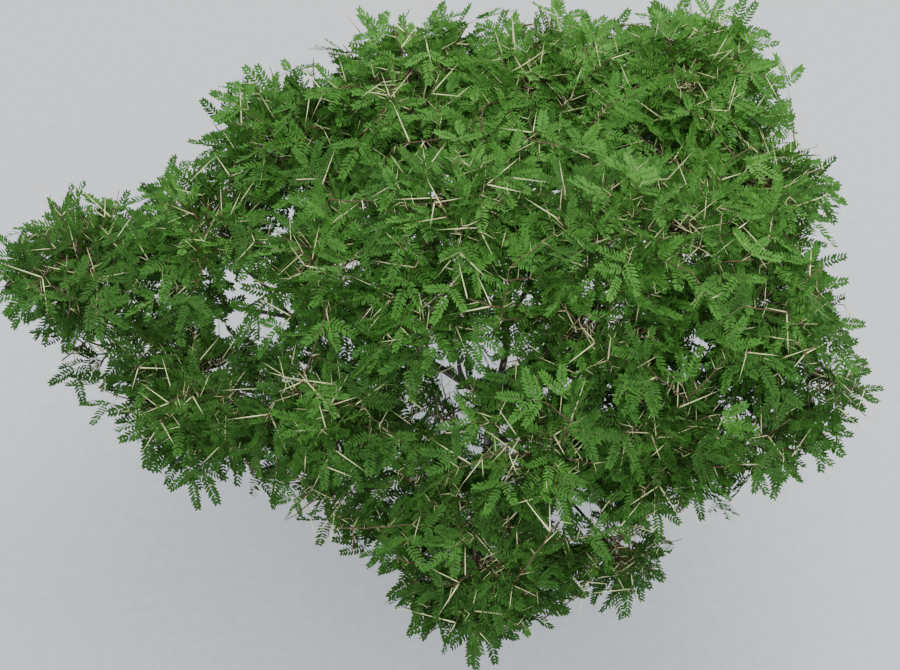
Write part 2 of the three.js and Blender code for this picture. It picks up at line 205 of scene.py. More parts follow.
# %% Sizes of the limbs, in metres
TRUNK = {"fork": 0.85, "lean": 0.03, "foot_radius": 0.034, "stem_radius": 0.025, "fork_radius": 0.020}
BOLE = 0.25  # the share of its height in which the trunk narrows fastest
TRUNK_PATH = [  # its middle line: the shares of its lean and height, and how far it strays to +Y
    (0, 0, 0),
    (0, 0.12, 0),
    (0.2, 0.45, 0),
    (0.65, 0.75, 0.002),
    (1, 1, 0.005),
]
MAIN_RADIUS, SIDE_RADIUS, TIP_RADIUS = 0.0125, 0.008, 0.0036
TAPER = 0.8  # below 1, a bough narrows faster near its parent
SUNK = 0.985  # a bough starts at this share of the way to its place, inside its parent's wood
ENTRY = 0.62  # a bough ends this share of its mass's spread short of the mass's middle
STEEPNESS, LEVELLING = 0.75, 0.5  # how much a bough climbs first, and levels out last
LEAVE_REACH, ARRIVE_REACH = 0.36, 0.32  # the shares of its length that it holds those headings for
BOUGH_POINTS = 6  # how many points a bough is drawn through, with its two ends
WAVER = 0.018  # how far those points stray, as a share of the bough's length
print("the trunk is", 2 * TRUNK["stem_radius"], "m across at", BOLE, "of its height")

# %% The boughs and the masses at their ends
BOUGHS = [  # name, springs from, how far along, bearing, reach, height and spread of its mass
    ("far_left", "trunk", 1.00, 167, 1.200, 1.125, 0.265),
    ("right_upper", "trunk", 1.00, 26, 0.860, 1.320, 0.250),
    ("low_front", "trunk", 0.97, 267, 0.620, 0.868, 0.262),
    ("top", "trunk", 1.00, 75, 0.700, 1.445, 0.290),
    ("left_upper", "far_left", 0.60, 159, 0.850, 1.255, 0.236),
    ("left_lower", "far_left", 0.50, 187, 0.805, 0.990, 0.278),
    ("left_low", "far_left", 0.75, 174, 1.150, 0.930, 0.150),
    ("left_inner", "far_left", 0.32, 166, 0.460, 1.330, 0.215),
    ("left_front", "far_left", 0.20, 211, 0.500, 1.140, 0.235),
    ("left_middle", "far_left", 0.10, 201, 0.180, 1.320, 0.215),
    ("right", "right_upper", 0.55, 357, 0.760, 1.290, 0.265),
    ("far_right", "right", 0.45, 353, 0.965, 1.085, 0.178),
    ("right_front", "right_upper", 0.22, 325, 0.550, 1.110, 0.285),
    ("right_lower", "right_front", 0.45, 341, 0.790, 1.030, 0.190),
    ("right_middle", "right_upper", 0.12, 337, 0.330, 1.330, 0.225),
    ("right_inner", "right_upper", 0.42, 15, 0.580, 1.430, 0.225),
    ("front_inner", "low_front", 0.15, 290, 0.410, 1.130, 0.225),
    ("front", "low_front", 0.40, 265, 0.500, 0.950, 0.245),
    ("front_left", "low_front", 0.22, 221, 0.580, 0.935, 0.178),
    ("front_right", "low_front", 0.30, 304, 0.650, 0.880, 0.192),
    ("front_middle", "front_left", 0.30, 238, 0.270, 1.110, 0.185),
    ("middle", "top", 0.25, 120, 0.160, 1.490, 0.275),
    ("top_left", "top", 0.40, 107, 0.750, 1.395, 0.285),
    ("upper_left", "top_left", 0.35, 133, 0.880, 1.290, 0.235),
    ("top_right", "top", 0.32, 50, 0.925, 1.445, 0.295),
    ("middle_right", "top_right", 0.20, 8, 0.330, 1.490, 0.285),
    ("back", "top", 0.60, 84, 0.900, 1.080, 0.250),
    ("back_left", "top_left", 0.55, 116, 0.880, 1.020, 0.235),
    ("back_right", "top_right", 0.50, 55, 0.960, 1.040, 0.245),
]
bearings, reaches, heights, spreads = map(np.array, list(zip(*BOUGHS))[3:])
bearings = np.radians(bearings)
middles = np.stack([reaches * np.cos(bearings), reaches * np.sin(bearings), heights], axis=1)
print(len(BOUGHS), "boughs, with masses", 2 * spreads.min(), "to", 2 * spreads.max(), "m across")

# %% [markdown]
# A bough is drawn through six points of a curve that leaves its parent steeply and arrives almost
# level, and all but the two ends stray a little. A limb is kept as its path, with a function that
# gives its radius at each share of that. Each bough needs its parent's path, which is why the
# table lists parents first. There is only one trunk, so its points are simply listed.

# %% Grow the limbs
FIRST_STREAM = 101  # the seed of the first bough's stream, and the next bough has the next one
limbs = {}  # name -> its path and the radius at each share of it


def trunk_radius(share):
    """The trunk narrows fast up to its bole's end, and slowly above it."""
    narrowing = TRUNK["foot_radius"] + (TRUNK["stem_radius"] - TRUNK["foot_radius"]) * share / BOLE
    above = (share - BOLE) / (1 - BOLE)
    upper = TRUNK["stem_radius"] + (TRUNK["fork_radius"] - TRUNK["stem_radius"]) * above
    return np.where(share < BOLE, narrowing, upper)


def grow_bough(index):
    """One tapering limb, from its parent's middle line to the edge of its mass."""
    name, parent, place, *_ = BOUGHS[index]
    start = limbs[parent][0].at(place * SUNK)
    run = middles[index] - start
    onward = unit(run)
    tip = middles[index] - onward * ENTRY * spreads[index]
    length = np.linalg.norm(tip - start)
    leave = unit(onward + UP * STEEPNESS) * length * LEAVE_REACH
    arrive = unit(onward + unit(run * [1, 1, 0]) * LEVELLING) * length * ARRIVE_REACH
    points = bezier(start, start + leave, tip - arrive, tip, count=BOUGH_POINTS)
    draw = seeded(FIRST_STREAM + index)
    for point in points[1:-1]:
        point += wander(draw) * 2 * WAVER * length
    base = MAIN_RADIUS if parent == "trunk" else SIDE_RADIUS
    limbs[name] = Path(through(points)), lambda share: base + (TIP_RADIUS - base) * share**TAPER


points = [(TRUNK["lean"] * lean, stray, TRUNK["fork"] * height) for lean, height, stray in TRUNK_PATH]
limbs["trunk"] = Path(through(np.array(points))), trunk_radius
for index in range(len(BOUGHS)):
    grow_bough(index)
low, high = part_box("bough_far_left")
print("far_left's tip", limbs["far_left"][0].at(1).round(3), "and its solid's box", tuple(low), tuple(high))

# %% [markdown]
# ## Room for each mass of foliage
#
# A crown like this one isn't an even cloud. It is a set of flattened masses, one at the end of
# each bough, with sky between them. Each mass gets an ellipsoid of its own, and where two of
# them run together a point belongs to the one that it lies deeper in. Asking how much room there
# is in one direction then means walking that way until the point belongs to no one or to a
# neighbour.

# %% Whose space a point is in
FLATNESS = 0.72  # a mass's height over its width
CLEARANCE = 0.005  # kept from the next mass
ROOM_STEPS = 40  # how finely room is measured: the steps in a walk over one spread


def depths(points):
    """How deep each point lies in each mass: 0 at the mass's middle, 1 on its skin."""
    away = (points[:, None] - middles) / spreads[:, None]
    away[..., 2] /= FLATNESS
    return np.linalg.norm(away, axis=-1)


def owns(index, points):
    """Whether each point belongs to one mass and not to a neighbour."""
    depth = depths(points)
    own = depth[:, index].copy()
    depth[:, index] = np.inf
    return (own <= 1) & (own + CLEARANCE / spreads[index] < depth.min(axis=1))


def room(index, point, direction, test=owns):
    """How far a mass's own space runs from a point, in one direction."""
    step = spreads[index] / ROOM_STEPS
    walked = np.arange(1, 2 * ROOM_STEPS + 1) * step
    inside = test(index, point + walked[:, None] * direction)
    return (len(inside) if inside.all() else inside.argmin()) * step


print("room above the first mass's middle:", round(room(0, middles[0], UP), 3))

# %% [markdown]
# Between two or three masses the ellipsoids leave valleys. On the real tree finer shoots close
# them, while the outline of the crown stays where it is. So there is a softer test as well: every
# mass spreads a little past its skin, and where several do so together the sum is enough to count
# as crown.

# %% The crown with its valleys closed
SOFT_REACH = 1.6  # how deep a mass's influence ends, where 1 is its skin
AMONG_THREE = 0.45  # the fullness that counts as crown where three masses or more have influence


def fullness(points):
    """1 on the skin of a lone mass, more inside it and between masses."""
    return (np.clip(SOFT_REACH - depths(points), 0, None) ** 2).sum(axis=1) / (SOFT_REACH - 1) ** 2


def least_full(points):
    """The fullness that counts as crown: 1 outside, and less between three masses or more."""
    return np.where((depths(points) < SOFT_REACH).sum(axis=1) >= 3, AMONG_THREE, 1.0)


def nearest(index, points):
    """Whether each point is in the crown and lies deepest in one mass."""
    return (fullness(points) >= 1) & (depths(points).argmin(axis=1) == index)


lowest, highest = fullness(middles).min().round(1), fullness(middles).max().round(1)
print("fullness in the middles of the masses: from", lowest, "to", highest)

# %% [markdown]
# ## Twigs
#
# A bough carries on into its mass as a thin stem that turns up through the middle. Twigs leave
# the stem on all sides, the low ones outwards and down, the high ones up, and stop short of the
# skin. On a real tree they follow the light. Directions spread by the golden angle, as seeds are
# on a seed head, fill a rounded mass evenly with any number of twigs, and a little jitter hides
# the pattern.

# %% Grow the stems and twigs
TWIG_AREA = 0.0098  # square metres of spread squared for each twig
STEM_REACH = 0.45  # how far the stem holds the bough's heading, as a share of the spread
STEM_RISE = 0.45  # how high over the middle it ends, as a share of the mass's half height
LOWEST, HIGHEST = -0.7, 0.95  # the sines of the steepest ways that twigs hang down and grow up
JITTER = 0.25  # how far twigs stray from an even spread
SPRAY_LENGTH = 0.225  # how long a leafy spray is where there is room
LEAST_PAST, MORE_PAST = 0.6, 0.25  # the share of a spray past its twig's tip, and what chance adds
LEAST_REACH = 0.3  # the least share of the room that a twig grows through
FIRST_TWIG, LAST_TWIG = 0.12, 0.97  # where the lowest and highest twigs leave the stem
SWING = 0.3  # how far a twig holds the stem's heading, as a share of its length
FACE_SWAY = 0.6  # how far the upper side of a twig's sprays strays from facing up
FIRST_MASS_STREAM, STREAM_STEP = 9001, 17  # the first mass's seed, and how far on the next one is
GOLDEN_ANGLE = math.pi * (3 - math.sqrt(5))
twigs = []  # (mass, path, the way its upper side faces)
stems = []


def grow_twigs(index, stem, draw):
    """The twigs of one mass, lowest first."""
    count = math.floor(spreads[index] ** 2 / TWIG_AREA + 0.5)
    paths = []
    for i in range(count):
        rise = LOWEST + (HIGHEST - LOWEST) * (i + 0.5) / count
        level = math.sqrt(1 - rise * rise)
        out = np.array([level * math.cos(i * GOLDEN_ANGLE), level * math.sin(i * GOLDEN_ANGLE), rise])
        out = unit(out + wander(draw) * JITTER)
        free = room(index, middles[index], out)
        kept_back = SPRAY_LENGTH * (LEAST_PAST + MORE_PAST * draw())
        end = middles[index] + out * max(free * LEAST_REACH, free - kept_back)
        place = FIRST_TWIG + (LAST_TWIG - FIRST_TWIG) * i / (count - 1)
        root = stem.at(place)
        swing = stem.heading(place) * np.linalg.norm(end - root) * SWING
        paths.append(Path(bezier(root, root + swing, end)))
    return [(index, path, UP + wander(draw) * 2 * FACE_SWAY) for path in paths]


for index, (name, *_) in enumerate(BOUGHS):
    limb = limbs[name][0]
    tip, heading = limb.at(1), limb.heading(1)
    top = middles[index] + UP * spreads[index] * FLATNESS * STEM_RISE
    stems.append(Path(bezier(tip, tip + heading * spreads[index] * STEM_REACH, top)))
    twigs += grow_twigs(index, stems[-1], seeded(FIRST_MASS_STREAM + STREAM_STEP * index))
print(len(twigs), "twigs on", len(stems), "stems")

# %% [markdown]
# ## Sprays
#
# Each twig ends in a leafy spray and bears more of them around it. A spray is a thin shoot that
# bends slightly from node to node. It is kept as its nodes, because everything that comes next
# stands on them: a leaf at each one, and a pair of thorns.

# %% Grow the sprays
SIDE_SPRAYS = [  # the place on the twig, the angle from it, the size, and if above or below the twig
    (0.93, 55, 0.9, False),
    (0.84, -58, 0.9, False),
    (0.6, 66, 0.85, False),
    (0.48, -66, 0.85, False),
    (0.90, 50, 1.0, True),
    (0.76, -54, 1.0, True),
    (0.5, 60, 0.95, True),
]
LEAST_SPRAY = 0.45  # with less room than this share of its length, a spray doesn't grow
SNUG = 0.97  # a spray fills at most this share of the room before it
WOODY_PART = 0.62  # the share of a spray's length that its shoot reaches
LEADERS, LEADING_PART = 0.2, 0.95  # the share of the shoots that reach farther, and how far
NODE_SPACING, LEAST_NODES = 0.037, 3
ZIGZAG = 0.0016  # how far each node stands to one side or the other
LIFT = 0.10  # how much a shoot turns up to the light, as a share of its length
SIDE_DRIFT = 0.05  # how much it turns to one side by chance
sprays = []  # (mass, nodes, upper side)


def grow_spray(index, root, along, upper, size, test=owns):
    """A shoot from a twig, if there is room, as the row of its nodes."""
    length = min(SPRAY_LENGTH * size, SNUG * room(index, root, along, test))
    if length < SPRAY_LENGTH * LEAST_SPRAY:
        return
    length *= LEADING_PART if chance.random() < LEADERS else WOODY_PART
    count = max(LEAST_NODES, round(length / NODE_SPACING) + 1)
    share = np.linspace(0, 1, count)[:, None]
    side = unit(np.cross(upper, along))
    bend = side * ZIGZAG * np.where(np.arange(count) % 2, 1, -1)[:, None]
    lift = UP * LIFT * length * share**2
    drift = side * chance.normal(0, SIDE_DRIFT) * length * share**2
    sprays.append((index, root + along * length * share + bend * (share > 0) + lift + drift, upper))


for index, path, upper in twigs:
    grow_spray(index, path.at(1), path.heading(1), upper, 1)
    for place, angle, size, is_upright in SIDE_SPRAYS:
        heading = path.heading(place)
        side = unit(np.cross(upper, heading))
        if is_upright:
            side = np.cross(heading, side)
        turn = math.radians(angle)
        along = heading * math.cos(turn) + side * math.sin(turn)
        grow_spray(index, path.at(place), along, upper, size, nearest if is_upright else owns)
print(len(sprays), "sprays on the twigs")

# %% [markdown]
# The outer part of a bough isn't bare either. Short sprays lean out, on and up from it, each a
# golden angle round from the last. Such a spray may reach into the space of any mass, so it is
# measured by the mass that the point shortly ahead of its foot lies deepest in.

# %% Sprays along the boughs
BOUGH_SPRAY_SPACING = 0.055
FIRST_BOUGH_SPRAY, LAST_BOUGH_SPRAY = 0.45, 0.99  # between these shares of the bough
ONWARD_LEAN, UPWARD_LEAN = 0.5, 0.3  # how much it leans on along the bough and up
BOUGH_SPRAY_SIZE = 0.95
BOUGH_SPRAY_SWAY = 0.3  # how far its upper side strays from facing up
AHEAD = 0.1  # how far ahead of its foot that point lies
for name, *_ in BOUGHS:
    path = limbs[name][0]
    places = np.arange(FIRST_BOUGH_SPRAY, LAST_BOUGH_SPRAY, BOUGH_SPRAY_SPACING / path.length)
    for number, place in enumerate(places):
        foot, heading = path.at(place), path.heading(place)
        turn = number * GOLDEN_ANGLE
        across = square(UP, heading)
        side = across * math.cos(turn) + np.cross(heading, across) * math.sin(turn)
        along = unit(heading * ONWARD_LEAN + side + UP * UPWARD_LEAN)
        mass = int(depths(foot[None] + along * AHEAD).argmin())
        upper = UP + chance.normal(0, BOUGH_SPRAY_SWAY, 3)
        grow_spray(mass, foot, along, upper, BOUGH_SPRAY_SIZE, nearest)
print(len(sprays), "sprays with", sum(len(nodes) for _, nodes, _ in sprays), "nodes")

# %% [markdown]
# ## Shoots that seek the light
#
# Rules that work outwards from the twigs leave hollows that a living crown doesn't have, because
# a shoot with room round it grows and a crowded one stays short. So places in the crown are tried
# at random. Where one lies far from every shoot, the nearest shoot sends a branch towards it. A
# few lanes, through which the fork and the ground show, stay open.

# %% Fill the hollows
TRIED_PLACES = 24000
WELL_INSIDE = 1.05  # a place is tried where the crown is this much fuller than it has to be
HOLLOW = 0.085  # a place that is this far from every shoot is a hollow
TOO_FAR = 3 * HOLLOW  # and a branch reaches one only from nearer than this
HOLLOW_SWAY = 0.35  # how far the upper side of a shoot in it strays from facing up
LANE_EASE = 0.02  # and how far off the lanes the tried places stay
POINT_STEP = 8  # every so many points of a twig count as a place that a shoot can start from
LANES = [  # the lower end, the upper end and the radius of each lane
    ((-0.69, 0.325, 0.95), (-0.69, -0.07, 1.42), 0.055),
    ((-0.10, 0.06, 0.90), (-0.10, -0.36, 1.42), 0.048),
    ((-0.02, -0.10, 0.82), (-0.02, -0.53, 1.34), 0.042),
    ((0.23, -0.29, 0.75), (0.23, -0.71, 1.25), 0.045),
    ((0.52, -0.31, 0.75), (0.52, -0.73, 1.25), 0.05),
]


def in_lane(points, ease=0.0):
    """Whether each point lies in a lane."""
    inside = np.zeros(len(points), bool)
    for low, high, radius in LANES:
        low, run = np.array(low), np.subtract(high, low)
        share = np.clip(((points - low) @ run) / (run @ run), 0, 1)[:, None]
        inside |= np.linalg.norm(points - low - run * share, axis=1) < radius + ease
    return inside


def in_crown(_, points):
    """Whether each point is in the crown, whichever mass it is nearest to."""
    return fullness(points) >= least_full(points)


known = [nodes for _, nodes, _ in sprays] + [path.points[::POINT_STEP] for _, path, _ in twigs]
known = np.concatenate(known)
tried = chance.uniform(box_before[0], box_before[1], (TRIED_PLACES, 3))
tried = tried[fullness(tried) > WELL_INSIDE * least_full(tried)]
tried = tried[~in_lane(tried, LANE_EASE)]
grown = len(sprays)
for place in tried:
    gaps = np.linalg.norm(known - place, axis=1)
    closest = gaps.argmin()
    if HOLLOW < gaps[closest] < TOO_FAR:
        before = len(sprays)
        root = known[closest]
        mass = int(depths(place[None]).argmin())
        grow_spray(mass, root, unit(place - root), UP + chance.normal(0, HOLLOW_SWAY, 3), 1, in_crown)
        if len(sprays) > before:
            known = np.concatenate([known, sprays[-1][1]])
print(len(sprays) - grown, "sprays fill hollows, of", len(tried), "places tried")

# %% [markdown]
# ## Leaves and thorns at each node
#
# An acacia leaf has a thin stalk with one or two pairs of feathers on its sides and another
# feather at its end. Each feather turns its upper face to the light. At the foot of the leaf two
# straight thorns spread apart. The nodes follow each other round the shoot by the golden angle.
#
# The places and directions of all leaves are worked out in whole arrays at once, which numpy does
# in an instant. A loop over thousands of leaves would read the same, but take far longer.

# %% Collect the nodes that bear leaves and thorns
TWIG_NODE_SPACING = 0.05
FIRST_NODE, LAST_NODE = 0.25, 0.97  # a twig bears leaves between these shares of its length
feet, headings, uppers, owners, at_tip = [], [], [], [], []


def add_nodes(places, along, upper, owner, reaches_tip):
    """The nodes of one shoot, which share its upper side."""
    numbers = np.arange(len(places))
    feet.append(places)
    headings.append(along)
    uppers.append(np.tile(upper, (len(places), 1)))
    owners.append(np.full(len(places), owner))
    at_tip.append((numbers == len(places) - 1) & reaches_tip)


for owner, (_, nodes, upper) in enumerate(sprays):
    add_nodes(nodes[1:], unit(np.diff(nodes, axis=0)), upper, owner, True)
for owner, (_, path, upper) in enumerate(twigs, start=len(sprays)):
    shares = np.arange(FIRST_NODE, LAST_NODE, TWIG_NODE_SPACING / path.length)
    add_nodes(path.at(shares), path.heading(shares), upper, owner, False)
feet, headings, uppers, owners, at_tip = map(np.concatenate, (feet, headings, uppers, owners, at_tip))
print(len(feet), "nodes with a leaf and thorns,", at_tip.sum(), "of them at a tip")

# %% [markdown]
# On a real shoot each leaf stands a constant angle further round than the last, so that it shades
# few of the others. Two directions per node carry this on: "outward", in which the leaf leaves
# the shoot, and "beside", square to that and to the shoot, for the pair of thorns.

# %% Turn each node's leaf round its shoot
TURN_SWAY = 0.3  # how far a leaf strays from that angle, in radians
count = len(feet)
turns = np.arange(count) * GOLDEN_ANGLE + chance.normal(0, TURN_SWAY, count)
across = square(uppers, headings)
outward = across * np.cos(turns)[:, None] + np.cross(headings, across) * np.sin(turns)[:, None]
beside = np.cross(headings, outward)
print("the leaves point", outward.mean(axis=0).round(2), "on average")

# %% [markdown]
# ## Leaf stalks
#
# A leaf stands off its shoot at a wide angle, while the one at the tip nearly carries the shoot
# on. Its stalk droops under its own weight, and straight stalks would make the crown look combed.
# A parabola is the simplest line that droops, and its slope gives the heading at any place.

# %% Lay out the leaf stalks
STALK_LENGTH, STALK_RANGE = 0.068, (0.8, 1.15)
LEAF_LEAN, TIP_LEAN = (48, 74), (10, 40)  # degrees between a leaf and its shoot, and at the tip
STALK_SINK = 0.12  # how much a stalk heads down from the start
STALK_DROOP = 0.22  # how far its end hangs below that heading, as a share of its length
LEAF_SWAY = 0.45  # how far its face strays from facing up
lean = np.where(at_tip, chance.uniform(*TIP_LEAN, count), chance.uniform(*LEAF_LEAN, count))
lean = np.radians(lean)[:, None]
stalk_along = unit(headings * np.cos(lean) + outward * np.sin(lean) - UP * STALK_SINK)
faces = square(UP + chance.normal(0, LEAF_SWAY, (count, 3)), stalk_along)
stalk_lengths = STALK_LENGTH * chance.uniform(*STALK_RANGE, count)[:, None]


def on_stalk(share):
    """The place at a share of each stalk, and the stalk's heading there."""
    droop = UP * STALK_DROOP * stalk_lengths
    return (
        feet + stalk_along * stalk_lengths * share - droop * share**2,
        unit(stalk_along * stalk_lengths - 2 * droop * share),
    )


stalk_ends, end_headings = on_stalk(1)
print("stalks end", (stalk_ends - feet)[:, 2].mean().round(3), "m above their feet on average")

# %% [markdown]
# ## The crown's own outline
#
# The edge of a real crown is frayed: some leaves stand well out of it, and most stop earlier.
# Cutting all leaves off at one surface would look clipped. So each leaf draws its own limit for
# how far out of the masses its tip may reach. The square root of an even draw lies nearer to one
# than to zero, so more leaves draw a strict limit than a loose one.
# Deep inside the crown there is too little light for leaves, and the lanes stay open here too.

# %% Keep to that outline
SHADED = 4.2  # where the crown is fuller than this, too little light comes in for leaves
OUTLINE = (0.15, 1.15)  # the least fullness that a tip may reach out to, which differs by leaf
PROUD = 0.018  # how far a tip may stand out of the solids' box, as a share of the box
FEATHER_LENGTH = 0.087
solid_low, solid_high = np.array(box_before[0]), np.array(box_before[1])
proud = PROUD * (solid_high - solid_low)


def in_box(tips):
    """Whether each tip stays near the box round the solids."""
    return (tips > solid_low - proud).all(axis=1) & (tips < solid_high + proud).all(axis=1)


leaf_tips = stalk_ends + end_headings * FEATHER_LENGTH
loosest, strictest = OUTLINE
least = (loosest + (strictest - loosest) * np.sqrt(chance.random(count))) * least_full(leaf_tips)
tip_fullness = fullness(leaf_tips)
kept = in_box(leaf_tips) & (tip_fullness > least) & (tip_fullness < SHADED)
kept &= ~in_lane(stalk_ends) & ~in_lane(leaf_tips)
print(kept.sum(), "of", count, "leaves keep to the outline")

# %% [markdown]
# ## Where each feather grows
#
# One feather carries on from the stalk's end and a pair stands on its sides. A quarter of the
# leaves have a second pair nearer the foot. A feather is only a row of numbers for now: its place,
# heading, face, length and the spray that it belongs to. The shapes are set on these rows later.

# %% Lay out the feathers
TIP_AND_PAIR = ((1, 0), (0.70, 58), (0.70, -58))  # the share of the stalk, and degrees from it
SECOND_PAIR = ((0.38, 64), (0.38, -64))
TWO_PAIRS = 0.25  # the share of the leaves that have a second pair
FEATHER_SWAY, FEATHER_STRAY = 6, 0.08  # in degrees from that angle, and in any direction
FEATHER_TILT = 0.3  # how much the feathers of a pair turn their faces apart
FEATHER_RANGE = (0.85, 1.12)
PLACE, HEADING, FACE, LENGTH, OWNER = slice(0, 3), slice(3, 6), slice(6, 9), 9, 10  # parts of a row


def feathers(share, angle, chosen):
    """One feather on each chosen leaf, at a share of its stalk and an angle from it."""
    place, heading = on_stalk(share)
    side = np.cross(faces, heading)
    turn = np.radians(angle + chance.normal(0, FEATHER_SWAY, count))[:, None]
    stray = chance.normal(0, FEATHER_STRAY, (count, 3))
    along = unit(heading * np.cos(turn) + side * np.sin(turn) + stray)
    face = square(faces - side * FEATHER_TILT * np.sign(angle), along)
    size = FEATHER_LENGTH * chance.uniform(*FEATHER_RANGE, count)
    return np.column_stack([place, along, face, size, owners])[chosen]


def row_tips(rows):
    """Where the shape on each row ends."""
    return rows[:, PLACE] + rows[:, HEADING] * rows[:, LENGTH, None]


second = kept & (chance.random(count) < TWO_PAIRS)
rows = [feathers(share, angle, kept) for share, angle in TIP_AND_PAIR]
rows += [feathers(share, angle, second) for share, angle in SECOND_PAIR]
rows = np.concatenate(rows)
rows = rows[in_box(row_tips(rows))]
print(len(rows), "feathers")

# %% [markdown]
# ## Where each thorn grows
#
# An acacia's thorns stand in pairs at its nodes, one on each side of the leaf, as the small
# leaves at the foot of a stalk do on other trees. The two of a pair are alike: both long and
# straight, or both short. So one draw per node decides which, and another whether there are any.

# %% Lay out the thorns
LONG_THORNS, SHORT_THORNS = (0.08, 0.14), (0.022, 0.048)  # their shortest and longest
THORNY_SHARE, LONG_SHARE = 0.88, 0.31  # of the nodes, and of those the ones with long thorns
THORN_SPREAD, THORN_SWAY = 46, 7  # degrees between each thorn and the plane of its leaf
THORN_LEAN, THORN_RISE = 0.4, 0.3  # how much it leans on along the shoot and up
THORN_OUTLINE = (0.2, 0.9)  # the least fullness that its tip may reach out to
long_thorns = chance.random(count) < LONG_SHARE
thorn_rows = []
for hand in (-1, 1):
    spread_angle = np.radians(THORN_SPREAD + chance.normal(0, THORN_SWAY, count))[:, None]
    along = outward * np.cos(spread_angle) + hand * beside * np.sin(spread_angle)
    along = unit(along + headings * THORN_LEAN + UP * THORN_RISE)
    size = chance.uniform(*LONG_THORNS, count), chance.uniform(*SHORT_THORNS, count)
    size = np.where(long_thorns, *size)
    thorn_rows.append(np.column_stack([feet, along, square(headings, along), size, owners]))
thorn_rows = np.concatenate(thorn_rows)
thorn_tips = row_tips(thorn_rows)
least = chance.uniform(*THORN_OUTLINE, len(thorn_tips))
thorny = np.tile(chance.random(count) < THORNY_SHARE, 2)
thorn_rows = thorn_rows[thorny & in_box(thorn_tips) & (fullness(thorn_tips) > least)]
print(len(thorn_rows), "thorns")

# %% [markdown]
# ## Skins of wood
#
# A trunk, a bough, a shoot and a leaf stalk are all tubes that taper. Rings of points round a
# path are joined into a closed skin, with a point in the middle of each end. Curve objects with a
# bevel would be quicker to set up, but a bevel has no place for bark, and these skins have: each
# point may move in or out before the skin is joined.

# %% Meshes and tubes from arrays


def mesh_object(name, points, triangles, material):
    """A shown object whose mesh holds the triangles."""
    mesh = bpy.data.meshes.new(name)
    mesh.vertices.add(len(points))
    mesh.vertices.foreach_set("co", points.astype(np.float32).ravel())
    mesh.loops.add(triangles.size)
    mesh.loops.foreach_set("vertex_index", triangles.astype(np.int32).ravel())
    mesh.polygons.add(len(triangles))
    mesh.polygons.foreach_set("loop_start", np.arange(0, triangles.size, 3, dtype=np.int32))
    mesh.update(calc_edges=True)
    if material:
        mesh.materials.append(material)
    made = bpy.data.objects.new(name, mesh)
    bpy.context.scene.collection.objects.link(made)
    return made


def store(mesh, label, kind, values):
    """Keep a number or a vector on each point of a mesh."""
    layer = mesh.attributes.new(label, kind, "POINT")
    values = np.asarray(values, np.float32).ravel()
    layer.data.foreach_set("value" if kind == "FLOAT" else "vector", values)


def skin(rings, sides):
    """The triangles that join rings of points, whose first and last points close the ends."""
    ring, side = np.meshgrid(np.arange(rings - 1), np.arange(sides), indexing="ij")
    here, there = 1 + ring * sides + side, 1 + ring * sides + (side + 1) % sides
    lower = np.stack([here, there, there + sides], axis=-1).reshape(-1, 3)
    upper = np.stack([here, there + sides, here + sides], axis=-1).reshape(-1, 3)
    corner = np.arange(sides)
    last = 1 + (rings - 1) * sides
    foot = np.stack([np.zeros(sides, int), 1 + (corner + 1) % sides, 1 + corner], axis=-1)
    top = np.stack([np.full(sides, last + sides), last + corner, last + (corner + 1) % sides], axis=-1)
    return np.concatenate([lower, upper, foot, top])


def around(sides):
    """Even angles once round."""
    return np.arange(sides) * 2 * math.pi / sides


STRAIGHT = 0.05  # a line that turns less than this has no plane of its own
ASLANT = (0.36, 0.48, 0.8)  # a direction that no limb takes exactly


def tube(middle, radii, sides):
    """A tube round a line, as its points, rings and sides. Radii are for rings or for all points."""
    ahead = unit(np.gradient(middle, axis=0))
    pole = np.cross(ahead[0], ahead[-1])
    if np.linalg.norm(pole) < STRAIGHT:
        pole = np.cross(ahead[0], ASLANT)
    side = square(np.tile(pole, (len(middle), 1)), ahead)
    over = np.cross(ahead, side)
    angle = around(sides)[:, None]
    out = np.reshape(radii, (len(middle), -1, 1))
    rim = middle[:, None] + out * (side[:, None] * np.cos(angle) + over[:, None] * np.sin(angle))
    return np.concatenate([middle[:1], rim.reshape(-1, 3), middle[-1:]]), len(middle), sides


def joined(tubes):
    """Many tubes as one set of points and triangles."""
    points, triangles, used = [], [], 0
    for own, rings, sides in tubes:
        points.append(own)
        triangles.append(skin(rings, sides) + used)
        used += len(own)
    return np.concatenate(points), np.concatenate(triangles)


print("a tube of 3 rings with 4 sides has", len(skin(3, 4)), "triangles")

# %% [markdown]
# ## Bark
#
# Young acacia bark is dark and finely furrowed along the limb, and the furrows fade towards the
# tips. The relief is real: noise that is stretched along the limb moves each point in or out, so
# the furrows also show on the outline. The same noise is kept on the points as "relief", for the
# material to darken the furrows by, and each point's place in the grain is kept as "grain".
#
# Where a bough leaves its parent it swells into a collar, and the trunk closes in a low dome
# between its boughs. At its foot it flares out in five lobes over its roots.

# %% Furrows and the root flare
FURROW_STRETCH = 6  # how many times longer than wide a furrow is
FURROW_SCALE = 150
FINE_SCALE, FINE_SHARE = 2.3, 0.5  # finer noise: how many times finer, and its strength
FURROW_RANGE = 1.2  # how far the two noises reach together
FLARE = {"height": 0.17, "spread": 0.45, "lobes": 5, "depth": 0.45}  # depth: the dip between two lobes


def furrows(walked, angle, radius, seed):
    """Furrow depth from -1 to 1 on a grid of lengths and angles, without a seam."""
    depth = np.empty((len(walked), len(angle)))
    for i, reach in enumerate(walked):
        for j, turn in enumerate(angle):
            height = reach / FURROW_STRETCH + seed
            spot = Vector((math.cos(turn) * radius, math.sin(turn) * radius, height))
            fine = noise.noise(spot * FURROW_SCALE * FINE_SCALE)
            depth[i, j] = noise.noise(spot * FURROW_SCALE) + FINE_SHARE * fine
    return depth / FURROW_RANGE


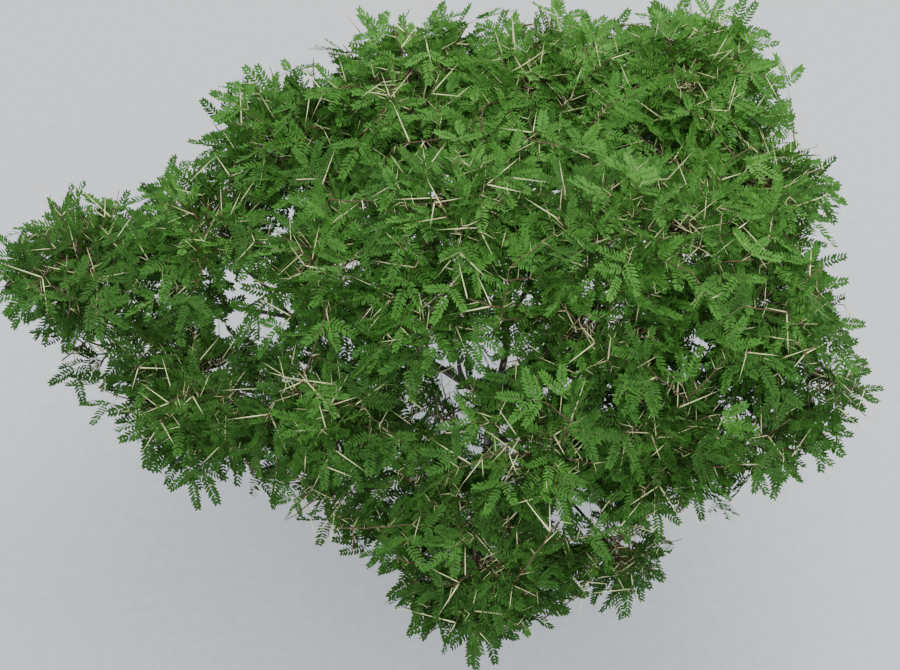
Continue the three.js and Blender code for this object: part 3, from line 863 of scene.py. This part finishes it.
def root_flare(walked, angle):
    """How far the root flare stands out, as a share of the trunk's radius there."""
    fade = np.maximum(0, 1 - walked / FLARE["height"])[:, None] ** 2
    lobe = 1 - FLARE["depth"] * (1 - np.cos(FLARE["lobes"] * angle))
    return 1 + FLARE["spread"] * fade * lobe


print("the flare makes the foot", root_flare(np.zeros(1), around(5)).max().round(2), "times as wide")

# %% Grow the bark
TRUNK_BARK, BOUGH_BARK = (0.0036, 72, 0.075), (0.010, 16, 0.06)  # ring spacing, sides, furrow depth
LEAST_RINGS = 12
COLLAR, COLLAR_REACH = 0.55, 0.025  # how much a bough swells at its foot, and how far that lasts
DOME, DOME_TOP = 0.018, 0.02  # the dome's height, and the share of the trunk's area left on its top
bark_tubes, bark_relief, bark_grain = [], [], []


def with_ends(values):
    """The same rows, with the first and last once more for the points that close the tube."""
    return np.concatenate([values[:1], values, values[-1:]])


def grow_bark(number, name):
    """The skin of one limb."""
    path, radius_at = limbs[name]
    is_trunk = name == "trunk"
    spacing, sides, amount = TRUNK_BARK if is_trunk else BOUGH_BARK
    shares = np.linspace(0, 1, max(LEAST_RINGS, round(path.length / spacing)))
    walked, angle = shares * path.length, around(sides)
    if is_trunk:
        shape = np.sqrt(np.clip((1 - shares) * path.length / DOME + DOME_TOP, 0, 1))
    else:
        shape = 1 + COLLAR * np.exp(-walked / COLLAR_REACH)
    radii = radius_at(shares) * shape
    depth = furrows(walked, angle, radii.mean(), number)
    flare = root_flare(walked, angle) if is_trunk else 1
    points, rings, sides = tube(path.at(shares), radii[:, None] * (flare * (1 + amount * depth)), sides)
    points[:, 2] = np.maximum(points[:, 2], 0)
    bark_tubes.append((points, rings, sides))
    bark_relief.append(np.concatenate([[0], depth.ravel(), [0]]))
    turn, radius = np.tile(angle, rings), np.repeat(radii, sides)
    place = np.repeat(walked, sides) / FURROW_STRETCH + number
    bark_grain.append(with_ends(np.column_stack([np.cos(turn) * radius, np.sin(turn) * radius, place])))


for number, name in enumerate(limbs):
    grow_bark(number, name)
print(sum(len(points) for points, _, _ in bark_tubes), "points of bark")

# %% [markdown]
# ## Materials
#
# Two effects serve several materials, so each is a node group. The first mottles a colour with
# noise at two scales, as light and age do on leaves, thorns and shoots. The second reads the bark's
# relief and grain, and darkens the furrows. Their helpers come first, because a node tree that is
# built in a script is easier to read when each kind of node takes one line.

# %% Helpers for shader nodes
NOISE_RANGE = (0.3, 0.7)  # a noise node seldom leaves it
MIX_INPUTS, MIX_OUTPUT = (0, 6, 7), 2  # a mix node has sockets for all kinds of data: these mix colours


def group_tree(name, inputs, outputs):
    """An empty shader group with named sockets, and its two end nodes."""
    tree = bpy.data.node_groups.new(name, "ShaderNodeTree")
    for socket, kind, value in inputs:
        made = tree.interface.new_socket(socket, in_out="INPUT", socket_type=kind)
        made.default_value = value
    for socket, kind in outputs:
        tree.interface.new_socket(socket, in_out="OUTPUT", socket_type=kind)
    return tree, tree.nodes.new("NodeGroupInput"), tree.nodes.new("NodeGroupOutput")


def feed(tree, socket, value):
    """Link a socket into another, or set it to a plain value."""
    if isinstance(value, bpy.types.NodeSocket):
        tree.links.new(value, socket)
    else:
        socket.default_value = value


def mix_colours(tree, blend, factor, first, second):
    """A colour mix. Each argument is a socket or a plain value."""
    node = tree.nodes.new("ShaderNodeMix")
    node.data_type, node.blend_type = "RGBA", blend
    for number, value in zip(MIX_INPUTS, (factor, first, second)):
        feed(tree, node.inputs[number], value)
    return node.outputs[MIX_OUTPUT]


def noise_node(tree, vector, scale, detail=2.0):
    """Noise at a place. Its scale is a socket or a plain value."""
    node = tree.nodes.new("ShaderNodeTexNoise")
    node.inputs["Detail"].default_value = detail
    feed(tree, node.inputs["Vector"], vector)
    feed(tree, node.inputs["Scale"], scale)
    return node.outputs["Fac"]


def remap(tree, value, old, new):
    """A value stretched from its old range to a new one."""
    node = tree.nodes.new("ShaderNodeMapRange")
    for socket, number in zip(node.inputs[1:5], (*old, *new)):
        socket.default_value = number
    tree.links.new(value, node.inputs[0])
    return node.outputs[0]


def attribute(tree, name):
    """A node that reads what is kept on the points of a mesh."""
    node = tree.nodes.new("ShaderNodeAttribute")
    node.attribute_name = name
    return node


print("noise is read from", NOISE_RANGE[0], "to", NOISE_RANGE[1])

# %% The mottle of leaves, thorns and shoots
COARSE_SPOTS, FINE_SPOTS = 12.0, 140.0  # about how many spots of each noise lie on a metre
COARSE_TINT, FINE_TINT = (0.80, 1.2), (0.85, 1.15)  # how far each noise darkens and lightens
mottle, start, end = group_tree(
    "mottle",
    [
        ("Color", "NodeSocketColor", (0.5, 0.5, 0.5, 1)),
        ("Coarse Scale", "NodeSocketFloat", COARSE_SPOTS),
        ("Fine Scale", "NodeSocketFloat", FINE_SPOTS),
    ],
    [("Color", "NodeSocketColor"), ("Height", "NodeSocketFloat")],
)
place = mottle.nodes.new("ShaderNodeTexCoord").outputs["Object"]
coarse_noise = noise_node(mottle, place, start.outputs["Coarse Scale"])
fine_noise = noise_node(mottle, place, start.outputs["Fine Scale"])
tint = mottle.nodes.new("ShaderNodeMath")
tint.operation = "MULTIPLY"
feed(mottle, tint.inputs[0], remap(mottle, coarse_noise, NOISE_RANGE, COARSE_TINT))
feed(mottle, tint.inputs[1], remap(mottle, fine_noise, NOISE_RANGE, FINE_TINT))
tinted = mottle.nodes.new("ShaderNodeVectorMath")
tinted.operation = "SCALE"
feed(mottle, tinted.inputs[0], start.outputs["Color"])
feed(mottle, tinted.inputs["Scale"], tint.outputs[0])
feed(mottle, end.inputs["Color"], tinted.outputs[0])
feed(mottle, end.inputs["Height"], fine_noise)
print("mottle has", len(mottle.nodes), "nodes")

# %% The furrows of bark
FIBRE_SCALE, FIBRE_DETAIL, FIBRE_STRENGTH = 420.0, 4.0, 0.8
FIBRE_RANGE = (0.35, 0.65)
RELIEF_RANGE = (-0.5, 0.35)  # from the colour of the furrows to that of the ridges
SHARES = (0.0, 1.0)
furrowed, start, end = group_tree(
    "furrowed",
    [
        ("Ridge", "NodeSocketColor", (0.2, 0.17, 0.15, 1)),
        ("Furrow", "NodeSocketColor", (0.05, 0.04, 0.035, 1)),
    ],
    [("Color", "NodeSocketColor"), ("Height", "NodeSocketFloat")],
)
relief = attribute(furrowed, "relief").outputs["Fac"]
grain = attribute(furrowed, "grain").outputs["Vector"]
fibre = noise_node(furrowed, grain, FIBRE_SCALE, FIBRE_DETAIL)
ridge = remap(furrowed, relief, RELIEF_RANGE, SHARES)
colour = mix_colours(furrowed, "MIX", ridge, start.outputs["Furrow"], start.outputs["Ridge"])
streaks = remap(furrowed, fibre, FIBRE_RANGE, SHARES)
colour = mix_colours(furrowed, "SOFT_LIGHT", FIBRE_STRENGTH, colour, streaks)
feed(furrowed, end.inputs["Color"], colour)
feed(furrowed, end.inputs["Height"], fibre)
print("furrowed has", len(furrowed.nodes), "nodes")

# %% [markdown]
# Every material of the tree is then one of these groups with its own colours, and a fine bump
# from the same noise. Bark and leaves are matt, and thorns shine a little. Veins could be drawn on
# each leaflet as well, but it is only 2 cm long, so what counts from a few steps away is how the
# greens vary from spray to spray. Six greens do that, and as they are dealt out they also carry
# painted light and shade: the darker ones painted shade, the lighter ones painted light.

# %% Materials from the groups
BUMP_DEPTH = 0.0004
RIDGES, FURROWS = (0.135, 0.115, 0.098, 1), (0.035, 0.028, 0.024, 1)
MOTTLED = {  # name -> its colour, the scale of its fine noise, its roughness, bump and gloss
    "shoot_bark": ((0.100, 0.058, 0.025, 1), 260.0, 0.6, 0.3, 0.5),
    "leaf_stalk": ((0.13, 0.115, 0.035, 1), FINE_SPOTS, 0.6, 0.1, 0.3),
    "feather_rib": ((0.105, 0.19, 0.045, 1), FINE_SPOTS, 0.7, 0.1, 0.2),
    "thorn": ((0.83, 0.85, 0.40, 1), 300.0, 0.4, 0.15, 0.3),
}
# From dark to light: the darker greens are painted shade, the lighter ones painted light.
SHADED_TO_LIT_GREENS = [
    (0.031, 0.094, 0.012, 1),
    (0.037, 0.112, 0.015, 1),
    (0.042, 0.130, 0.017, 1),
    (0.051, 0.160, 0.020, 1),
    (0.061, 0.186, 0.024, 1),
    (0.071, 0.205, 0.029, 1),
]
LEAF_FINISH, BARK_FINISH = (0.7, 0.15, 0.15), (0.88, 0.5, 0.5)  # roughness, bump and gloss
for number, green in enumerate(SHADED_TO_LIT_GREENS):
    MOTTLED[f"leaf_green_{number}"] = (green, FINE_SPOTS, *LEAF_FINISH)


def plant_material(name, group, settings, roughness, bump, gloss):
    """A material whose colour and fine bump come from a shared group."""
    material = bpy.data.materials.new(name)
    material.use_nodes = True
    tree = material.node_tree
    surface = tree.nodes["Principled BSDF"]
    surface.inputs["Roughness"].default_value = roughness
    surface.inputs["Specular IOR Level"].default_value = gloss
    source = tree.nodes.new("ShaderNodeGroup")
    source.node_tree = group
    for socket, value in settings.items():
        source.inputs[socket].default_value = value
    tree.links.new(source.outputs["Color"], surface.inputs["Base Color"])
    bumps = tree.nodes.new("ShaderNodeBump")
    bumps.inputs["Strength"].default_value = bump
    bumps.inputs["Distance"].default_value = BUMP_DEPTH
    tree.links.new(source.outputs["Height"], bumps.inputs["Height"])
    tree.links.new(bumps.outputs["Normal"], surface.inputs["Normal"])
    return material


bark = plant_material("bark", furrowed, {"Ridge": RIDGES, "Furrow": FURROWS}, *BARK_FINISH)
materials = {"bark": bark}
for name, (colour, scale, *finish) in MOTTLED.items():
    materials[name] = plant_material(name, mottle, {"Color": colour, "Fine Scale": scale}, *finish)
print(len(materials), "materials")

# %% [markdown]
# A thorn is brown at its foot and cream along its shaft. How far along each point of it lies is
# kept on the mesh as "reach", and the thorn's colour is mixed by that.

# %% Brown feet for the thorns
FOOT_BROWN = (0.12, 0.065, 0.03, 1)
FOOT_REACH, FOOT_STRENGTH = 0.1, 0.9  # where the brown ends, as a share of the thorn
tree = materials["thorn"].node_tree
base = tree.nodes["Principled BSDF"].inputs["Base Color"]
cream = base.links[0].from_socket
foot = remap(tree, attribute(tree, "reach").outputs["Fac"], (0.0, FOOT_REACH), (FOOT_STRENGTH, 0.0))
tree.links.new(mix_colours(tree, "MIX", foot, cream, FOOT_BROWN), base)
print("thorns are brown over", FOOT_REACH, "of their length")

# %% [markdown]
# ## Wood of every size
#
# The trunk and boughs carry bark, so they have many sides. Stems, twigs, shoots and leaf stalks
# are a few millimetres thick or less, and from where the tree is seen a few sides look round. That
# is what keeps thousands of them light. All the tubes of one kind become one piece.

# %% Make the trunk and boughs, the shoots and the leaf stalks
STEM_RINGS, TWIG_RINGS, STALK_RINGS = 14, 9, 3
STEM_RADII, TWIG_RADII = (TIP_RADIUS, 0.0022), (0.0034, 0.0027)  # at the foot and at the tip
SPRAY_RADII, STALK_RADII = (0.0025, 0.0013), (0.0010, 0.0006)
STEM_SIDES, TWIG_SIDES, SPRAY_SIDES, STALK_SIDES = 8, 6, 4, 3


def tapered(middle, radii, sides):
    """A tube that narrows evenly along a line."""
    return tube(middle, np.linspace(*radii, len(middle)), sides)


wood = mesh_object("trunk_and_boughs", *joined(bark_tubes), materials["bark"])
store(wood.data, "relief", "FLOAT", np.concatenate(bark_relief))
store(wood.data, "grain", "FLOAT_VECTOR", np.concatenate(bark_grain))

stem_shares, twig_shares = np.linspace(0, 1, STEM_RINGS), np.linspace(0, 1, TWIG_RINGS)
shoot_tubes = [tapered(path.at(stem_shares), STEM_RADII, STEM_SIDES) for path in stems]
shoot_tubes += [tapered(path.at(twig_shares), TWIG_RADII, TWIG_SIDES) for _, path, _ in twigs]
shoot_tubes += [tapered(nodes, SPRAY_RADII, SPRAY_SIDES) for _, nodes, _ in sprays]
shoots = mesh_object("shoots", *joined(shoot_tubes), materials["shoot_bark"])
for piece in (wood, shoots):
    piece.data.polygons.foreach_set("use_smooth", np.ones(len(piece.data.polygons), bool))

stalk_shares = np.linspace(0, 1, STALK_RINGS)
lines = np.stack([on_stalk(share)[0] for share in stalk_shares], axis=1)[kept]
stalk_tubes = [tapered(line, STALK_RADII, STALK_SIDES) for line in lines]
stalks = mesh_object("leaf_stalks", *joined(stalk_tubes), materials["leaf_stalk"])
for piece in (wood, shoots, stalks):
    print(piece.name, len(piece.data.polygons), "triangles")

# %% [markdown]
# ## Feathers, ribs and thorns, each made once
#
# A feather has nine pairs of small oblong leaflets on a rib. Three feathers that differ in their
# fold and in how the leaflets stray are enough, as each is turned and sized where it grows.
# A leaflet is three triangles: a point at the rib, full width soon after, and a blunt end. It is
# twisted and raised a little by chance, because a feather whose leaflets all lie in one plane
# flashes like a blade.

# %% The feather
PAIRS = 9
LEAFLET_LENGTH, LEAFLET_WIDTH = 0.245, 0.088  # as shares of the feather's length
LEAFLET = ((0, 0), (0.28, 1), (0.86, 0.8), (1, -0.25), (0.32, -1))  # shares of length and half width
LEAFLET_FACES = ((0, 1, 4), (1, 2, 4), (2, 3, 4))
FIRST_PAIR, PAIRS_SPAN = 0.06, 0.80  # where the pairs begin, and how far they run
RIB_DROOP = 0.03  # how far the rib's end hangs down
ROOT_ANGLE, ANGLE_LOSS = 66, 28  # degrees between a leaflet and the rib, and how much less at its end
ANGLE_SWAY, FOLD_SWAY = 3, 9  # in degrees
TWIST, TWIST_SWAY = 0.12, 0.3  # how far a leaflet is turned about its length
SWELL_START, SWELL_SPAN = 0.18, 0.72  # the stretch of a half wave that the leaflets' lengths follow
SWELL_POWER = 0.7  # below one it rounds the wave's top
LEAST_LENGTH, SWELL_LENGTH = 0.55, 0.45  # what the wave adds to, and how much it adds
FEATHER_KINDS = (("feather_a", 12, 1), ("feather_b", 20, 2), ("feather_c", 4, 3))  # name, fold and seed


def leaflet_length(share):
    """How long leaflets are along the feather: longest before its middle, shorter at both ends."""
    swell = math.sin(math.pi * (SWELL_START + SWELL_SPAN * share)) ** SWELL_POWER
    return LEAFLET_LENGTH * (LEAST_LENGTH + SWELL_LENGTH * swell)


def feather(name, fold, seed):
    """A feather one metre long along X that faces up, with leaflets that rise by its fold in degrees."""
    draw = np.random.default_rng(seed)
    half = LEAFLET_WIDTH / 2
    points, triangles = [], []
    for pair in range(PAIRS):
        share = pair / (PAIRS - 1)
        root = np.array([FIRST_PAIR + PAIRS_SPAN * share, 0, -RIB_DROOP * share**2])
        length = leaflet_length(share)
        for hand in (-1, 1):
            angle = math.radians(ROOT_ANGLE - ANGLE_LOSS * share + draw.normal(0, ANGLE_SWAY))
            rise = math.radians(fold + draw.normal(0, FOLD_SWAY))
            level = math.sin(angle) * math.cos(rise)
            along = unit(np.array([math.cos(angle), hand * level, math.sin(rise)]))
            twist = draw.normal(TWIST, TWIST_SWAY)
            wide = square(np.array([math.sin(angle), -hand * math.cos(angle), twist]), along)
            first = len(points)
            points += [root + along * length * on + wide * half * out for on, out in LEAFLET]
            faces = LEAFLET_FACES if hand < 0 else [face[::-1] for face in LEAFLET_FACES]
            triangles += [[first + corner for corner in face] for face in faces]
    return mesh_object(name, np.array(points), np.array(triangles), None)


feather_shapes = [feather(name, fold, seed) for name, fold, seed in FEATHER_KINDS]
print("a feather has", len(feather_shapes[0].data.polygons), "triangles")

# %% [markdown]
# A rib and a thorn are both slender spikes. A cone would do for the rib, while a real thorn keeps
# its thickness for half its length and has a stout foot, so its rings have radii of their own.

# %% The spikes, and the shapes in their collections
RIB, THORN = ((0, 1),), ((0, 1.15), (0.5, 0.7))  # rings: the share of the length, and of the radius
RIB_RADIUS, RIB_SIDES = 0.014, 3  # radii for a length of one metre
THORN_RADIUS, THORN_SIDES = 0.0165, 4


def spike(name, radius, sides, rings):
    """A slender spike one metre long along X."""
    points = [
        (share, radius * thick * math.cos(turn), radius * thick * math.sin(turn))
        for share, thick in rings
        for turn in around(sides)
    ]
    triangles = []
    for ring in range(len(rings) - 1):
        for side in range(sides):
            here, there = ring * sides + side, ring * sides + (side + 1) % sides
            triangles += [(here, there, there + sides), (here, there + sides, here + sides)]
    last = (len(rings) - 1) * sides
    points.append((1, 0, 0))
    triangles += [(last + side, last + (side + 1) % sides, len(points) - 1) for side in range(sides)]
    made = mesh_object(name, np.array(points), np.array(triangles), None)
    store(made.data, "reach", "FLOAT", [point[0] for point in points])
    return made


shapes = {
    "feathers": feather_shapes,
    "ribs": [spike("rib", RIB_RADIUS, RIB_SIDES, RIB)],
    "thorns": [spike("thorn", THORN_RADIUS, THORN_SIDES, THORN)],
}
for kind, made in shapes.items():
    shapes[kind] = bpy.data.collections.new(kind)
    for shape in made:
        bpy.context.scene.collection.objects.unlink(shape)
        shapes[kind].objects.link(shape)

# %% [markdown]
# ## Setting the shapes out
#
# Thousands of feathers are set out by Geometry Nodes. Each point of a bare mesh says which way
# its feather grows, which way it faces and how long it is. The tree picks one shape of a
# collection for each point, turns its X axis along and its Z axis to the face, and scales it. The
# instances are realized at the end, because only real geometry survives an export.

# %% The tree of nodes that sets shapes out
growing = bpy.data.node_groups.new("set_out_on_points", "GeometryNodeTree")
sockets = {}
inputs = {"Points": "Geometry", "Shapes": "Collection", "Material": "Material", "Seed": "Int"}
for socket, kind in inputs.items():
    made = growing.interface.new_socket(socket, in_out="INPUT", socket_type="NodeSocket" + kind)
    sockets[socket] = made.identifier
growing.interface.new_socket("Mesh", in_out="OUTPUT", socket_type="NodeSocketGeometry")
start, end = growing.nodes.new("NodeGroupInput"), growing.nodes.new("NodeGroupOutput")


def node(kind, links=(), **settings):
    """A node of the tree, with its settings made and its inputs linked."""
    made = growing.nodes.new(kind)
    for key, value in settings.items():
        setattr(made, key, value)
    for socket, source in links:
        growing.links.new(source, made.inputs[socket])
    return made


def stored(name, kind):
    """A named attribute of the points."""
    made = node("GeometryNodeInputNamedAttribute", data_type=kind)
    made.inputs["Name"].default_value = name
    return made.outputs["Attribute"]


picked = node("GeometryNodeCollectionInfo", [("Collection", start.outputs["Shapes"])])
picked.inputs["Separate Children"].default_value = True
picked.inputs["Reset Children"].default_value = True
which = node("FunctionNodeRandomValue", [("Seed", start.outputs["Seed"])], data_type="INT")
which.inputs["Min"].default_value, which.inputs["Max"].default_value = 0, len(feather_shapes) - 1
along = node("FunctionNodeAlignRotationToVector", [("Vector", stored("along", "FLOAT_VECTOR"))], axis="X")
turned = node(
    "FunctionNodeAlignRotationToVector",
    [("Rotation", along.outputs[0]), ("Vector", stored("facing", "FLOAT_VECTOR"))],
    axis="Z",
    pivot_axis="X",
)
instances = node(
    "GeometryNodeInstanceOnPoints",
    [
        ("Points", start.outputs["Points"]),
        ("Instance", picked.outputs[0]),
        ("Instance Index", which.outputs[2]),
        ("Rotation", turned.outputs[0]),
        ("Scale", stored("size", "FLOAT")),
    ],
)
instances.inputs["Pick Instance"].default_value = True
real = node("GeometryNodeRealizeInstances", [("Geometry", instances.outputs[0])])
painted = node("GeometryNodeSetMaterial", [("Geometry", real.outputs[0])])
growing.links.new(start.outputs["Material"], painted.inputs["Material"])
growing.links.new(painted.outputs[0], end.inputs["Mesh"])
print("shapes are set out by", len(growing.nodes), "nodes")

# %% [markdown]
# One function runs the tree on a set of rows and keeps the result as a plain mesh. The attributes
# that only steered the setting out are dropped again.

# %% The function that sets shapes out


def set_out(name, rows, kind, material, seed):
    """One joined mesh with a shape on each row: its place, heading, face and length."""
    mesh = bpy.data.meshes.new(name)
    mesh.vertices.add(len(rows))
    mesh.vertices.foreach_set("co", rows[:, PLACE].astype(np.float32).ravel())
    store(mesh, "along", "FLOAT_VECTOR", rows[:, HEADING])
    store(mesh, "facing", "FLOAT_VECTOR", rows[:, FACE])
    store(mesh, "size", "FLOAT", rows[:, LENGTH])
    piece = bpy.data.objects.new(name, mesh)
    bpy.context.scene.collection.objects.link(piece)
    modifier = piece.modifiers.new("set_out", "NODES")
    modifier.node_group = growing
    for socket, value in (("Shapes", shapes[kind]), ("Material", material), ("Seed", seed)):
        modifier[sockets[socket]] = value
    bpy.context.view_layer.update()
    evaluated = piece.evaluated_get(bpy.context.evaluated_depsgraph_get())
    plain = bpy.data.meshes.new_from_object(evaluated)
    piece.modifiers.clear()
    piece.data = plain
    bpy.data.meshes.remove(mesh)
    plain.name = name
    for label in ("along", "facing", "size"):
        if label in plain.attributes:
            plain.attributes.remove(plain.attributes[label])
    print(name, len(rows), "shapes,", len(plain.polygons), "triangles")
    return piece


print("shapes to set out:", len(rows), "feathers, as many ribs and", len(thorn_rows), "thorns")

# %% [markdown]
# ## Greens by the spray, with painted light and shade
#
# The light and shade on the crown are painted into the greens. Sprays high up, on the far side and
# a little to the right get a lighter green as painted light, and those underneath and near the
# viewer a darker one as painted shade. All the leaves of a spray share one green, with some chance
# in which, so that the sprays stand out from each other as they do on the tree.

# %% Deal out the greens of painted light and shade, and set everything out
FAR_SIDE, RIGHT_SIDE = 0.55, 0.1  # how much light these add for each metre, where height adds 1
SHADE_START, SHADE_SPAN = -0.5, 5.85  # the darkest spray's shade, and how many shades lighter they get
SHADE_SWAY = 1.0  # how much chance there is in it, in shades
spray_ends = np.array([nodes[-1] for _, nodes, _ in sprays] + [path.at(1) for _, path, _ in twigs])
# Painted light and shade: the higher a spray ends, the farther back and the farther right, the lighter its
# green.
light = spray_ends[:, 2] + FAR_SIDE * np.maximum(spray_ends[:, 1], 0) + RIGHT_SIDE * spray_ends[:, 0]
light = (light - light.min()) / np.ptp(light)
shades = np.round(SHADE_SPAN * light + SHADE_START + chance.normal(0, SHADE_SWAY, len(light)))
shades = np.clip(shades, 0, len(SHADED_TO_LIT_GREENS) - 1).astype(int)
row_shades = shades[rows[:, OWNER].astype(int)]
leaves = [
    set_out(f"leaves_{n}", rows[row_shades == n], "feathers", materials[f"leaf_green_{n}"], n)
    for n in range(len(SHADED_TO_LIT_GREENS))
]
ribs = set_out("feather_ribs", rows, "ribs", materials["feather_rib"], 0)
thorns = set_out("thorns", thorn_rows, "thorns", materials["thorn"], 0)
for group in shapes.values():
    for shape in list(group.objects):
        bpy.data.objects.remove(shape)
    bpy.data.collections.remove(group)

# %% [markdown]
# ## Handing the pieces over
#
# Every piece moves with the tree's one body. The bark takes the place of the solid trunk and
# boughs, and the shoots, leaves and thorns together take the place of the solid masses.

# %% Ride and replace
woody = ["trunk"] + ["bough_" + bough[0] for bough in BOUGHS]
leafy = ["foliage_" + bough[0] for bough in BOUGHS]
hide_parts(*woody)
for piece in (shoots, *leaves, ribs, thorns, stalks):
    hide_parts(*leafy)
for piece in (wood, shoots, *leaves, ribs, thorns, stalks):
    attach(piece, "root")
print(len(woody), "solids of wood and", len(leafy), "of foliage replaced")

# %% [markdown]
# ## Floor
#
# The tree stands on a plain pale floor, so that its shadow can fall and nothing else draws the
# eye. A floor of one flat colour looks like paper, so two close greys are mixed by noise. It
# reaches far enough to fill the view behind the crown.

# %% The floor
FLOOR_REACH = 60
FLOOR_GREYS = (0.60, 0.60, 0.59, 1), (0.66, 0.66, 0.65, 1)
FLOOR_SCALE, FLOOR_DETAIL, FLOOR_ROUGHNESS = 30.0, 6.0, 0.9
floor_material = bpy.data.materials.new("floor")
floor_material.use_nodes = True
tree = floor_material.node_tree
surface = tree.nodes["Principled BSDF"]
surface.inputs["Roughness"].default_value = FLOOR_ROUGHNESS
place = tree.nodes.new("ShaderNodeTexCoord").outputs["Object"]
blotches = remap(tree, noise_node(tree, place, FLOOR_SCALE, FLOOR_DETAIL), NOISE_RANGE, SHARES)
tree.links.new(mix_colours(tree, "MIX", blotches, *FLOOR_GREYS), surface.inputs["Base Color"])
corners = FLOOR_REACH * np.array([(-1, -1, 0), (1, -1, 0), (1, 1, 0), (-1, 1, 0)], float)
floor = mesh_object("floor", corners, np.array([(0, 1, 2), (0, 2, 3)]), floor_material)
print("the floor is", 2 * FLOOR_REACH, "m wide")

# %% [markdown]
# ## Light
#
# One broad soft lamp stands high and behind the tree to the right, and brings out the tops of the
# masses. A weaker lamp fills the near side, and a pale sky lights the shadows between the leaves.
# A sun lamp would cast harder shadows and make the crown look spotted.

# %% The lamps and the sky
LAMPS = [  # name, place, what it aims at, width, power, colour
    ("key", (1.2, 1.5, 5.2), (-0.1, 0.2, 1.1), 3.4, 124, (1.0, 0.98, 0.93)),
    ("fill", (0.6, -4.4, 4.6), (-0.1, 0.0, 1.0), 3.6, 86, (0.93, 0.97, 1.0)),
]
SKY_COLOUR, SKY_STRENGTH = (0.85, 0.9, 1.0, 1), 1.55
for name, place, aim, width, power, colour in LAMPS:
    lamp = bpy.data.lights.new(name, "AREA")
    lamp.shape, lamp.size, lamp.energy, lamp.color = "DISK", width, power, colour
    holder = bpy.data.objects.new(name, lamp)
    holder.location = place
    holder.rotation_euler = (Vector(aim) - Vector(place)).to_track_quat("-Z", "Y").to_euler()
    bpy.context.scene.collection.objects.link(holder)
    print(name, "lamp of", power, "watts")
world = bpy.data.worlds.new("pale_sky")
world.use_nodes = True
background = world.node_tree.nodes["Background"]
background.inputs["Color"].default_value = SKY_COLOUR
background.inputs["Strength"].default_value = SKY_STRENGTH
bpy.context.scene.world = world

# %% [markdown]
# ## Camera
#
# The crown is seen from above at a steep angle, as from a high window. A long lens from farther
# away keeps near and far masses in proportion, where a wide one would swell the near ones.

# %% The camera
ELEVATION = math.radians(50)
LENS, SENSOR = 100, 36  # in millimetres
DISTANCE = 7.025
TARGET = Vector((-0.1, 0.0, 1.15))
camera_data = bpy.data.cameras.new("camera")
camera_data.lens, camera_data.sensor_width = LENS, SENSOR
camera = bpy.data.objects.new("camera", camera_data)
back = Vector((0, -math.cos(ELEVATION), math.sin(ELEVATION)))
camera.location = TARGET + back * DISTANCE
camera.rotation_euler = (-back).to_track_quat("-Z", "Y").to_euler()
bpy.context.scene.collection.objects.link(camera)
bpy.context.scene.camera = camera
print("the camera stands at", tuple(round(part, 2) for part in camera.location))
